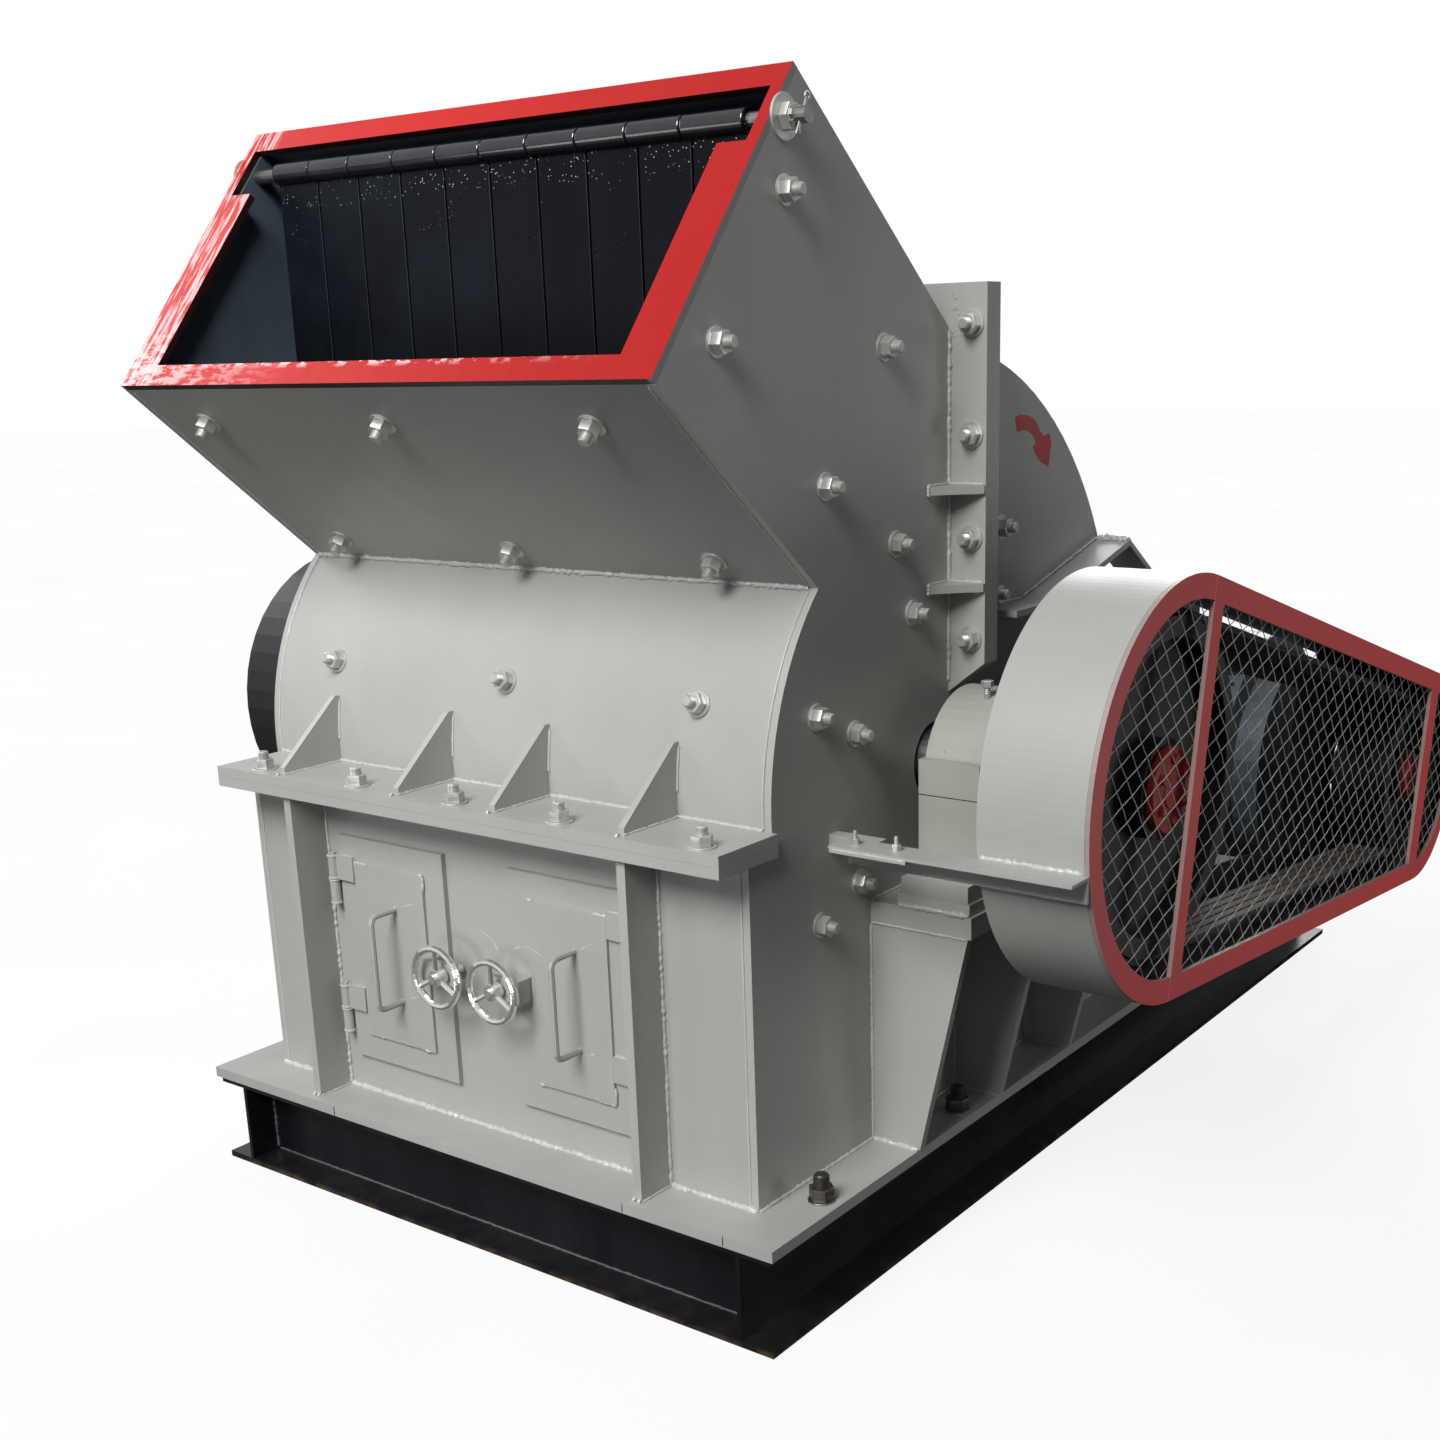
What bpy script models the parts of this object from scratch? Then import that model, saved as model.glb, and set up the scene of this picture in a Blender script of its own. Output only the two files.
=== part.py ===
import math

import bmesh
import bpy
from mathutils import Matrix, Vector

# Driving dimensions, in metres: +X the belt side, -Y the feed side, +Z up, floor at z = 0
GAP = 0.0003
HALF_WIDTH = 0.600
WALL = 0.016
INSIDE = HALF_WIDTH - WALL

ROTOR_Y = 0.556
ROTOR_Z = 0.852
FRONT_RADIUS = 0.493
REAR_RADIUS = 0.714
JOIN_ANGLE = 135.6
SHAFT_HOLE = 0.070

BEAM_HEIGHT = 0.177
BEAM_FLANGE = 0.136
BEAM_FLANGE_PLATE = 0.012
BEAM_WEB = 0.008
BEAM_X = HALF_WIDTH + 0.021
HOUSING_BACK = ROTOR_Y + REAR_RADIUS
MOTOR_SETBACK = 0.626
MOTOR_Y = HOUSING_BACK + MOTOR_SETBACK
BASE_FRONT = -0.089
BASE_BACK = MOTOR_Y + 0.554
MIDDLE_BEAM_Y = MOTOR_Y - 0.286

SOLE_PLATE = 0.020
SOLE_SIDE = HALF_WIDTH + 0.097
SOLE_FRONT = BASE_FRONT - 0.007
SOLE_BACK = HOUSING_BACK + 0.130
SOLE_TOP = BEAM_HEIGHT + GAP + SOLE_PLATE
DISCHARGE_MARGIN = 0.030

SPLIT_Z = ROTOR_Z - 0.040
FLANGE_PLATE = 0.0187
FLANGE_FRONT = -0.089
FLANGE_LEFT = -HALF_WIDTH + 0.015
FLANGE_RIGHT = HALF_WIDTH + 0.012

MOUTH_HEIGHT = ROTOR_Z + REAR_RADIUS
MOUTH_BOTTOM = (-0.182, MOUTH_HEIGHT - 0.042)
MOUTH_TOP = (0.165, MOUTH_HEIGHT + 0.389)
FRAME_PLATE = 0.012
FRAME_SIDE = 0.075
FRAME_EDGE = 0.042
FRAME_NARROW = 0.022
FRAME_STEP = 0.412
LINER = 0.010
LINER_REACH = 0.440

JOINT_Y = ROTOR_Y + 0.047
JOINT_PLATE = 0.022
JOINT_HOLE_MARGIN = 0.015
JOINT_OUT = HALF_WIDTH + 0.073
JOINT_TOP = ROTOR_Z + REAR_RADIUS + 0.094
ROOF_END_Z = JOINT_TOP - 0.072
JOINT_LUG = (ROTOR_Z + 0.115, ROTOR_Z + 0.171)
JOINT_GUSSETS = (ROTOR_Z + 0.304, ROTOR_Z + 0.471)
JOINT_GUSSET_PLATE = 0.014
JOINT_GUSSET_REACH = 0.073
RIDGE_SHAPE = ((0.2297, 0.3473), (0.4398, 0.3473), (0.8810, 0.4636), (1.0280, 0.3683))
RIDGE_OUT = 0.072
RIDGE_PLATE = 0.012

ROD_Y = 0.1375
ROD_Z = MOUTH_TOP[1] - 0.0765
ROD_RADIUS = 0.012
ROD_ENDS = (-HALF_WIDTH - 0.030, HALF_WIDTH + 0.045)
SLEEVE_RADIUS = 0.018
SLEEVE_ENDS = (-HALF_WIDTH + 0.086, HALF_WIDTH - 0.060)
FLAPS = 10
FLAP_LENGTH = 0.500
FLAP_PLATE = 0.010
FLAP_SLOT = 0.004

GUSSET_X = (-0.418, -0.114, 0.120, 0.404)
GUSSET_PLATE = 0.012
GUSSET_TOP = SPLIT_Z + 0.143
RIB_X = 0.405
RIB_PLATE = 0.018
RIB_OUT = 0.078

DOOR_X = (0.080, 0.356)
DOOR_Z = (0.272, 0.712)
DOOR_PLATE = 0.010
PANEL_X = (0.130, 0.310)
PANEL_Z = (0.324, 0.664)
PANEL_PLATE = 0.006
OPENING_MARGIN = 0.022
HINGE_X = DOOR_X[1] + 0.011
HINGE_Y = -0.016
HINGE_RADIUS = 0.010
HINGE_LENGTH = 0.096
HINGE_Z = (0.368, 0.626)
PIN_RADIUS = 0.005
HANDLE_X = (-0.207, 0.236)
HANDLE_Z = (0.410, 0.590)
HANDLE_OUT = 0.075
HANDLE_RADIUS = 0.0055
HANDLE_BEND = 0.012
WHEEL_X = (-0.056, 0.082)
WHEEL_Y = -0.066
WHEEL_Z = 0.502
WHEEL_RADIUS = 0.054
WHEEL_RIM = 0.0065
SPOKE_RADIUS = 0.0045
HUB_RADIUS = 0.015
SCREW_RADIUS = 0.008
SCREW_TIPS = (-0.006, -0.017)
ARM_HALF = 0.021
ARM_PLATE = 0.010
ARM_Y = WHEEL_Y + 0.020

PEDESTAL_Y = (ROTOR_Y - 0.213, ROTOR_Y + 0.371)
PEDESTAL_FOOT = HALF_WIDTH + 0.099
PEDESTAL_HEAD = HALF_WIDTH + 0.200
PEDESTAL_TOP = ROTOR_Z - 0.207
PEDESTAL_BAND = 0.038
WEB_PLATE = 0.016
PACKER = 0.022
BEARING_X = (HALF_WIDTH + 0.062, HALF_WIDTH + 0.180)
BEARING_FOOT = 0.211
BEARING_HALF = 0.155
FOOT_HEIGHT = 0.030
CAP_LUG = ROTOR_Z + 0.038
CAP_RADIUS = 0.141
BOSS_RADIUS = 0.098
BOSS_OUT = 0.012
SHAFT_RADIUS = 0.060
BORE_PLAY = 0.0005

ROTOR_SHAFT = 0.090
ROTOR_PLAY = 0.039
HAMMER_RADIUS = FRONT_RADIUS - 0.073
DISC_RADIUS = HAMMER_RADIUS - 0.120
DISC_PLATE = 0.030
DISCS = 5
DISC_INSET = 0.104
HAMMER_WIDTH = 0.090
HAMMER_HEIGHT = 0.120
FLYWHEEL_X = (-HALF_WIDTH - 0.330, -HALF_WIDTH - 0.225)
FLYWHEEL_RADIUS = 0.305
FLYWHEEL_RIM = 0.060
PULLEY_X = (HALF_WIDTH + 0.325, HALF_WIDTH + 0.445)
GUARD_RADIUS = 0.354
GUARD_MOTOR_RADIUS = 0.236
PULLEY_RADIUS = GUARD_RADIUS - 0.069
PULLEY_RIM = 0.035
SHAFT_NOSE = 0.012
MOTOR_Z = 0.600
MOTOR_PULLEY_RADIUS = GUARD_MOTOR_RADIUS - 0.071
MOTOR_SHAFT = 0.040
MOTOR_X = (PULLEY_X[0] - 1.175, PULLEY_X[0] - 0.145)
MOTOR_RADIUS = 0.300
MOTOR_FOOT_Z = 0.285
MOTOR_FOOT_PLATE = 0.028
MOTOR_FOOT_HALF = 0.260
MOTOR_SADDLE_HALF = 0.200
MOTOR_FEET = (MOTOR_X[0] + 0.270, MOTOR_X[0] + 0.870)
MOTOR_RAILS = (MOTOR_FEET[0] + 0.080, MOTOR_FEET[1] - 0.080)
RAIL_WIDTH = 0.100
RAIL_FRONT = MOTOR_Y - 0.351
TERMINAL_X = (MOTOR_X[0] + 0.490, MOTOR_X[0] + 0.730)
TERMINAL_HALF = 0.110
TERMINAL_TOP = MOTOR_Z + MOTOR_RADIUS + 0.085
BELT_PLAY = 0.0006
BELT_PLATE = 0.012
BELT_INSET = 0.008

GUARD_X = (HALF_WIDTH + 0.289, HALF_WIDTH + 0.4805)
GUARD_SHEET = 0.005
RING_PLATE = 0.008
RING_WIDTH = 0.041
GUARD_BARS = ((0.043, 0.040), (math.dist((ROTOR_Y, ROTOR_Z), (MOTOR_Y, MOTOR_Z)), 0.056))
GUARD_BACK_PLATE = 0.004
GUARD_BACK_X = GUARD_X[0] + 0.004
GUARD_BACK_SLOT = 0.024
GUARD_BACK_HOLES = (0.115, 0.090)
GUARD_BACK_OPEN = (0.10, 0.80)
GUARD_BACK_WINDOW = (0.42, 0.72)
GUARD_ANGLE_Z = ROTOR_Z - 0.055
ANGLE_LEG = 0.042
ANGLE_SHELF = 0.058
ANGLE_PLATE = 0.005
ANGLE_X = (HALF_WIDTH + 0.048, GUARD_X[1])
SUPPORT_X = (HALF_WIDTH + 0.052, HALF_WIDTH + 0.195)
POST_X = (HALF_WIDTH, HALF_WIDTH + 0.040)
POST_Y = (MOTOR_Y - 0.336, MOTOR_Y - 0.296)
POST_HEAD = 0.040

WIRE = 0.0024
WIRE_EDGE = (0.006, 0.034)
WIRE_START = (0.4371, 1.0811)
WIRE_STEP = ((0.1062, 0.0324), (0.0636, -0.0846))

SIDES = {"left": -1, "right": 1}
rotor_axis = (ROTOR_Y, ROTOR_Z)
motor_axis = (MOTOR_Y, MOTOR_Z)
rod_axis = (ROD_Y, ROD_Z)

# Finishes seen in the photograph: colour, roughness and metallic value
FINISHES = {
    "grey_paint": ((0.42, 0.42, 0.41), 0.42, 0.0),
    "black_paint": ((0.014, 0.015, 0.018), 0.28, 0.0),
    "red_paint": ((0.56, 0.035, 0.035), 0.40, 0.0),
    "dark_red_paint": ((0.34, 0.030, 0.032), 0.45, 0.0),
    "casting_paint": ((0.33, 0.34, 0.33), 0.50, 0.0),
    "motor_enamel": ((0.13, 0.17, 0.19), 0.45, 0.0),
    "black_casting": ((0.030, 0.030, 0.034), 0.50, 0.2),
    "bare_steel": ((0.45, 0.45, 0.44), 0.35, 1.0),
    "chrome": ((0.80, 0.80, 0.80), 0.12, 1.0),
    "zinc": ((0.60, 0.60, 0.57), 0.35, 1.0),
    "rubber": ((0.020, 0.020, 0.021), 0.70, 0.0),
}

# Outlines in the Y-Z plane


def turn(angle):
    return math.cos(math.radians(angle)), math.sin(math.radians(angle))


def arc(centre, radius, start, end, step=4.0):
    count = max(1, round(abs(end - start) / step))
    points = []
    for index in range(count + 1):
        c, s = turn(start + (end - start) * index / count)
        points.append((centre[0] + radius * c, centre[1] + radius * s))
    return points


def along(start, end):
    dy, dz = end[0] - start[0], end[1] - start[1]
    length = math.hypot(dy, dz)
    return dy / length, dz / length


def moved(point, direction, distance):
    return point[0] + direction[0] * distance, point[1] + direction[1] * distance


def loop_outline(big, small, offset=0.0, step=4.0):
    """The outline of a belt run round the crusher shaft and the motor shaft, at two radii."""
    near, far = (ROTOR_Y, ROTOR_Z), (MOTOR_Y, MOTOR_Z)
    distance = math.dist(near, far)
    slope = math.degrees(math.atan2(far[1] - near[1], far[0] - near[0]))
    open_angle = math.degrees(math.acos((big - small) / distance))
    outline = arc(near, big + offset, slope + open_angle, slope + 360 - open_angle, step)
    outline += arc(far, small + offset, slope - open_angle, slope + open_angle, step)
    return outline


# Solids: each returns an object that joined() fuses into a node


def solid(shape):
    """A finished bmesh as an object, with its faces turned outwards."""
    bmesh.ops.remove_doubles(shape, verts=shape.verts, dist=1e-5)
    bmesh.ops.recalc_face_normals(shape, faces=shape.faces)
    mesh = bpy.data.meshes.new("shape")
    shape.to_mesh(mesh)
    shape.free()
    made = bpy.data.objects.new("shape", mesh)
    bpy.context.scene.collection.objects.link(made)
    return made


def placed(axis, a, b, depth):
    if axis == "x":
        return Vector((depth, a, b))
    if axis == "y":
        return Vector((b, depth, a))
    return Vector((a, b, depth))


def facing(axis, a, b, depth):
    """The matrix that puts a shape made along +Z at (a, b, depth) along another axis."""
    columns = [placed(axis, *unit) for unit in ((1, 0, 0), (0, 1, 0), (0, 0, 1))]
    turned_to = Matrix(columns).transposed().to_4x4()
    return Matrix.Translation(placed(axis, a, b, depth)) @ turned_to


def prism(axis, outline, low, high):
    """An outline extruded along one axis: (y, z) for x, (z, x) for y, (x, y) for z."""
    shape = bmesh.new()
    base = shape.faces.new([shape.verts.new(placed(axis, a, b, low)) for a, b in outline])
    pulled = bmesh.ops.extrude_face_region(shape, geom=[base])["geom"]
    corners = [item for item in pulled if isinstance(item, bmesh.types.BMVert)]
    bmesh.ops.translate(shape, verts=corners, vec=placed(axis, 0, 0, high - low))
    return solid(shape)


def box(x, y, z):
    low, high = Vector((x[0], y[0], z[0])), Vector((x[1], y[1], z[1]))
    place = Matrix.Translation((low + high) / 2) @ Matrix.Diagonal((*(high - low), 1.0))
    shape = bmesh.new()
    bmesh.ops.create_cube(shape, size=1.0, matrix=place)
    return solid(shape)


def cylinder(axis, centre, radius, low, high, sides=24):
    shape = bmesh.new()
    bmesh.ops.create_cone(
        shape,
        cap_ends=True,
        segments=sides,
        radius1=radius,
        radius2=radius,
        depth=high - low,
        matrix=facing(axis, *centre, (low + high) / 2),
    )
    return solid(shape)


def turned(profile, centre, sides=36):
    """A closed (x, radius) profile spun about an axis along X through (y, z)."""
    shape = bmesh.new()
    points = [shape.verts.new((x, centre[0], centre[1] + radius)) for x, radius in profile]
    edges = [shape.edges.new(pair) for pair in zip(points, points[1:] + points[:1])]
    bmesh.ops.spin(
        shape,
        geom=points + edges,
        cent=(0, *centre),
        axis=(1, 0, 0),
        angle=math.tau,
        steps=sides,
    )
    return solid(shape)


def tube(path, radius, resolution=2):
    """A round bar bent along a path."""
    curve = bpy.data.curves.new("shape", "CURVE")
    curve.dimensions = "3D"
    curve.bevel_depth = radius
    curve.bevel_resolution = resolution
    curve.use_fill_caps = True
    spline = curve.splines.new("POLY")
    spline.points.add(len(path) - 1)
    for point, place in zip(spline.points, path):
        point.co = (*place, 1.0)
    bar = bpy.data.objects.new("shape", curve)
    shape = bmesh.new()
    shape.from_mesh(bar.to_mesh())
    bpy.data.objects.remove(bar)
    return solid(shape)


def ring(centre, radius, thickness):
    """A round bar bent to a ring about an axis along Y."""
    bpy.ops.mesh.primitive_torus_add(
        major_segments=28,
        minor_segments=8,
        major_radius=radius,
        minor_radius=thickness,
        location=centre,
        rotation=(math.radians(90), 0, 0),
    )
    made = bpy.context.object
    made.data.transform(made.matrix_basis)
    made.matrix_basis = Matrix.Identity(4)
    return made


def fused(solids, cutters=()):
    """The first solid with the others joined to it and the cutters taken away."""
    whole = solids[0]
    bpy.context.view_layer.objects.active = whole
    steps = [(shape, "UNION") for shape in solids[1:]]
    steps += [(shape, "DIFFERENCE") for shape in cutters]
    for shape, operation in steps:
        boolean = whole.modifiers.new(operation, "BOOLEAN")
        boolean.operation = operation
        boolean.solver = "EXACT"
        boolean.object = shape
        bpy.ops.object.modifier_apply(modifier=boolean.name)
        bpy.data.objects.remove(shape)
    return whole


def trimmed(shape, limit):
    """What of a shape lies inside a limiting solid."""
    bpy.context.view_layer.objects.active = shape
    boolean = shape.modifiers.new("trim", "BOOLEAN")
    boolean.operation = "INTERSECT"
    boolean.solver = "EXACT"
    boolean.object = limit
    bpy.ops.object.modifier_apply(modifier=boolean.name)
    bpy.data.objects.remove(limit)
    return shape


def joined(name, finish, solids, cutters=()):
    """Fuses the solids into a node with its name, its shading and a material of its own."""
    node = fused(solids, cutters)
    node.name = name
    node.data.name = name
    node.data.shade_smooth()
    node.data.set_sharp_from_angle(angle=math.radians(25))
    colour, roughness, metallic = FINISHES[finish]
    material = bpy.data.materials.new(f"{name}_{finish}")
    material.use_nodes = True
    shader = material.node_tree.nodes["Principled BSDF"]
    shader.inputs["Base Color"].default_value = (*colour, 1.0)
    shader.inputs["Roughness"].default_value = roughness
    shader.inputs["Metallic"].default_value = metallic
    node.data.materials.clear()
    node.data.materials.append(material)
    return node


def mirrored(shape):
    """The same solid on the other side of the machine."""
    shape.data.transform(Matrix.Scale(-1, 4, (1, 0, 0)))
    shape.data.flip_normals()
    return shape


for existing in list(bpy.data.objects):
    bpy.data.objects.remove(existing)


def sided(solids, side):
    return [mirrored(shape) if side < 0 else shape for shape in solids]


# Base frame of I-beams


def beam_outline(centre, width=BEAM_FLANGE):
    """(across, up) outline of one I-beam."""
    half, web = width / 2, BEAM_WEB / 2
    plate, top = BEAM_FLANGE_PLATE, BEAM_HEIGHT
    return [
        (centre - half, 0.0),
        (centre + half, 0.0),
        (centre + half, plate),
        (centre + web, plate),
        (centre + web, top - plate),
        (centre + half, top - plate),
        (centre + half, top),
        (centre - half, top),
        (centre - half, top - plate),
        (centre - web, top - plate),
        (centre - web, plate),
        (centre - half, plate),
    ]


def long_beam(name, x):
    outline = [(z, across) for across, z in beam_outline(x)]
    joined(name, "black_paint", [prism("y", outline, BASE_FRONT, BASE_BACK)])


def cross_beam(name, y):
    """Its flanges stop at the long beams' flanges, and its web runs on to their webs."""
    flange_end = BEAM_X - BEAM_FLANGE / 2 - GAP
    web_end = BEAM_X - BEAM_WEB / 2 - GAP
    web = (BEAM_FLANGE_PLATE + GAP, BEAM_HEIGHT - BEAM_FLANGE_PLATE - GAP)
    section = prism("x", beam_outline(y), -flange_end, flange_end)
    plate = box((-web_end, web_end), (y - BEAM_WEB / 2, y + BEAM_WEB / 2), web)
    joined(name, "black_paint", [section, plate])


long_beam("base_beam_left", -BEAM_X)
long_beam("base_beam_right", BEAM_X)
cross_beam("base_beam_front", BASE_FRONT + BEAM_FLANGE / 2)
cross_beam("base_beam_middle", MIDDLE_BEAM_Y)
cross_beam("base_beam_rear", BASE_BACK - BEAM_FLANGE / 2)

joined(
    "sole_plate", "grey_paint",
    [box((-SOLE_SIDE, SOLE_SIDE), (SOLE_FRONT, SOLE_BACK), (SOLE_TOP - SOLE_PLATE, SOLE_TOP))],
    [
        box(
            (-INSIDE + DISCHARGE_MARGIN, INSIDE - DISCHARGE_MARGIN),
            (WALL + DISCHARGE_MARGIN, HOUSING_BACK - WALL - DISCHARGE_MARGIN),
            (0.0, 0.5),
        )
    ],
)

# Lower housing

LOWER_Z = (SOLE_TOP + GAP, SPLIT_Z - FLANGE_PLATE - GAP)
FLANGE_X = (FLANGE_LEFT, FLANGE_RIGHT)
FLANGE_BACK = ROTOR_Y - FRONT_RADIUS


def shaft_hole(margin=0.0):
    return cylinder("x", rotor_axis, SHAFT_HOLE + margin, -1.5, 1.5, 36)


openings = []
for side in (-1, 1):
    x = sorted(side * (value + sign * OPENING_MARGIN) for value, sign in zip(DOOR_X, (1, -1)))
    openings.append(
        box(x, (-0.1, 0.1), (DOOR_Z[0] + OPENING_MARGIN, DOOR_Z[1] - OPENING_MARGIN))
    )
joined(
    "lower_front_wall", "grey_paint",
    [box((-INSIDE + GAP, INSIDE - GAP), (0.0, WALL), LOWER_Z)],
    openings,
)
joined(
    "lower_rear_wall", "grey_paint",
    [
        box(
            (-INSIDE + GAP, INSIDE - GAP),
            (HOUSING_BACK - WALL, HOUSING_BACK),
            (SOLE_TOP + GAP, SPLIT_Z - GAP),
        )
    ],
)
for label, side in SIDES.items():
    outline = [
        (0.0, LOWER_Z[0]),
        (HOUSING_BACK, LOWER_Z[0]),
        (HOUSING_BACK, SPLIT_Z - GAP),
        (FLANGE_BACK + GAP, SPLIT_Z - GAP),
        (FLANGE_BACK + GAP, LOWER_Z[1]),
        (0.0, LOWER_Z[1]),
    ]
    wall = prism("x", outline, INSIDE, HALF_WIDTH)
    joined(f"lower_{label}_wall", "grey_paint", sided([wall], side), [shaft_hole()])

ribs = []
for side in (-1, 1):
    x = (side * RIB_X - RIB_PLATE / 2, side * RIB_X + RIB_PLATE / 2)
    ribs.append(box(x, (-RIB_OUT, -GAP), (LOWER_Z[0], SPLIT_Z - 0.005)))
lower_flange = box(FLANGE_X, (FLANGE_FRONT, FLANGE_BACK), (SPLIT_Z - FLANGE_PLATE, SPLIT_Z))
joined("front_flange_lower", "grey_paint", [lower_flange, *ribs])

# Front joint flange with its gussets

FLANGE_TOP = SPLIT_Z + GAP + FLANGE_PLATE


def front_arc(radius, low, high):
    """The front arc about the rotor between two heights, from the lower to the upper."""
    start = 180 - math.degrees(math.asin((low - ROTOR_Z) / radius))
    end = 180 - math.degrees(math.asin((high - ROTOR_Z) / radius))
    return arc(rotor_axis, radius, start, end, 3.0)


gussets = []
for x in GUSSET_X:
    back = front_arc(FRONT_RADIUS + GAP, FLANGE_TOP - 0.004, GUSSET_TOP)
    outline = [(-0.070, FLANGE_TOP - 0.004), (-0.070, FLANGE_TOP + 0.012)]
    outline += [(back[-1][0] - 0.012, GUSSET_TOP), *back[::-1]]
    gussets.append(prism("x", outline, x - GUSSET_PLATE / 2, x + GUSSET_PLATE / 2))
upper_flange = box(FLANGE_X, (FLANGE_FRONT, FLANGE_BACK), (SPLIT_Z + GAP, FLANGE_TOP))
joined("front_flange_upper", "grey_paint", [upper_flange, *gussets])

# Curved front plate, feed chute and upper side walls

mouth_up = along(MOUTH_BOTTOM, MOUTH_TOP)
mouth_in = (mouth_up[1], -mouth_up[0])
mouth_length = math.dist(MOUTH_BOTTOM, MOUTH_TOP)
join = moved(rotor_axis, turn(JOIN_ANGLE), FRONT_RADIUS)
roof_end = (JOINT_Y - GAP, ROOF_END_Z)
floor_dir = along(MOUTH_BOTTOM, join)
floor_in = (-floor_dir[1], floor_dir[0])
roof_dir = along(MOUTH_TOP, roof_end)
roof_in = (roof_dir[1], -roof_dir[0])
PLATE_X = (-INSIDE + GAP, INSIDE - GAP)


def depth(point):
    """How far a point lies behind the plane of the mouth."""
    return (point[0] - MOUTH_BOTTOM[0]) * mouth_in[0] + (point[1] - MOUTH_BOTTOM[1]) * mouth_in[1]


def behind_frame(point, direction):
    """The point where a plate of the chute starts, just behind the mouth frame."""
    ahead = depth(moved(MOUTH_BOTTOM, direction, 1.0))
    return moved(point, direction, (FRAME_PLATE + GAP - depth(point)) / ahead)


floor_start = behind_frame(MOUTH_BOTTOM, floor_dir)
roof_start = behind_frame(MOUTH_TOP, roof_dir)
low_start = math.degrees(math.asin((FLANGE_TOP + GAP - ROTOR_Z) / FRONT_RADIUS))
curve_outer = arc(rotor_axis, FRONT_RADIUS, 180 - low_start, JOIN_ANGLE, 1.5)
curve_inner = arc(rotor_axis, FRONT_RADIUS - WALL, 180 - low_start, JOIN_ANGLE, 1.5)
joined("curved_front_plate", "grey_paint", [prism("x", curve_outer + curve_inner[::-1], *PLATE_X)])

floor_end = moved(join, floor_dir, -GAP)
floor_outline = [
    floor_start,
    floor_end,
    moved(floor_end, floor_in, WALL),
    behind_frame(moved(MOUTH_BOTTOM, mouth_up, WALL), floor_dir),
]
joined("chute_floor", "grey_paint", [prism("x", floor_outline, *PLATE_X)])

roof_drop = WALL / roof_dir[0]
roof_outline = [
    roof_start,
    roof_end,
    (roof_end[0], roof_end[1] - roof_drop),
    behind_frame(moved(MOUTH_TOP, mouth_up, -WALL), roof_dir),
]
joined("chute_roof", "grey_paint", [prism("x", roof_outline, *PLATE_X)])

for label, side in SIDES.items():
    outline = [
        (FLANGE_BACK + GAP, SPLIT_Z),
        *arc(rotor_axis, FRONT_RADIUS, 180 - low_start, JOIN_ANGLE, 3.0),
        floor_start,
        roof_start,
        roof_end,
        (JOINT_Y - GAP, SPLIT_Z),
    ]
    wall = prism("x", outline, INSIDE, HALF_WIDTH)
    rod_hole = cylinder("x", rod_axis, ROD_RADIUS + GAP, -1.5, 1.5, 16)
    joined(f"upper_{label}_wall", "grey_paint", sided([wall], side), [shaft_hole(), rod_hole])


def mouth_point(up, inward):
    return moved(moved(MOUTH_BOTTOM, mouth_up, up), mouth_in, inward)


def mouth_block(x, up, inward):
    """A box lying in the plane of the mouth."""
    corners = [(up[0], inward[0]), (up[1], inward[0]), (up[1], inward[1]), (up[0], inward[1])]
    return prism("x", [mouth_point(*corner) for corner in corners], *x)


frame_depth = (0.0, FRAME_PLATE)
through = (-0.02, FRAME_PLATE + 0.02)
wide = HALF_WIDTH - FRAME_SIDE
narrow = HALF_WIDTH - FRAME_NARROW
joined(
    "mouth_frame", "red_paint",
    [mouth_block((-HALF_WIDTH, HALF_WIDTH), (0.0, mouth_length), frame_depth)],
    [
        mouth_block((-wide, wide), (FRAME_EDGE, mouth_length - FRAME_EDGE), through),
        mouth_block((-narrow, narrow), (FRAME_STEP, mouth_length - FRAME_EDGE), through),
    ],
)

# Wear liner round the inside of the chute, clear of the curtain rod


def chute_ring(inset, reach):
    """The four corners of the chute's inside, moved in by an inset."""
    low = behind_frame(moved(MOUTH_BOTTOM, floor_in, WALL + inset), floor_dir)
    low_end = moved(low, floor_dir, reach)
    high = behind_frame(moved(MOUTH_TOP, roof_in, WALL + inset), roof_dir)
    high_end = moved(high, roof_dir, reach)
    return [low, low_end, high_end, high]


outer = chute_ring(GAP, LINER_REACH)
inner = chute_ring(GAP + LINER, LINER_REACH)
inner = [
    moved(inner[0], floor_dir, -0.1),
    moved(inner[1], floor_dir, 0.1),
    moved(inner[2], roof_dir, 0.1),
    moved(inner[3], roof_dir, -0.1),
]
liner_x = INSIDE - GAP
joined(
    "chute_liner", "black_paint",
    [prism("x", outer, -liner_x, liner_x)],
    [
        prism("x", inner, -liner_x + LINER, liner_x - LINER),
        cylinder("x", rod_axis, ROD_RADIUS + GAP, -1.5, 1.5, 16),
    ],
)

# Curtain rod and the flaps on their sleeve

joined("curtain_rod", "bare_steel", [cylinder("x", rod_axis, ROD_RADIUS, *ROD_ENDS, 16)])

sleeve = cylinder("x", rod_axis, SLEEVE_RADIUS, *SLEEVE_ENDS, 20)
pitch = (SLEEVE_ENDS[1] - SLEEVE_ENDS[0]) / FLAPS
plates = []
for index in range(FLAPS):
    start = SLEEVE_ENDS[0] + index * pitch + FLAP_SLOT / 2
    plates.append(
        box(
            (start, start + pitch - FLAP_SLOT),
            (ROD_Y - FLAP_PLATE / 2, ROD_Y + FLAP_PLATE / 2),
            (ROD_Z - FLAP_LENGTH, ROD_Z - SLEEVE_RADIUS * 0.6),
        )
    )
joined(
    "flap_curtain", "black_paint",
    [sleeve, *plates],
    [cylinder("x", rod_axis, ROD_RADIUS + BORE_PLAY, -1.5, 1.5, 16)],
)

# Split flange between the fixed housing and the rear cover

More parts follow.
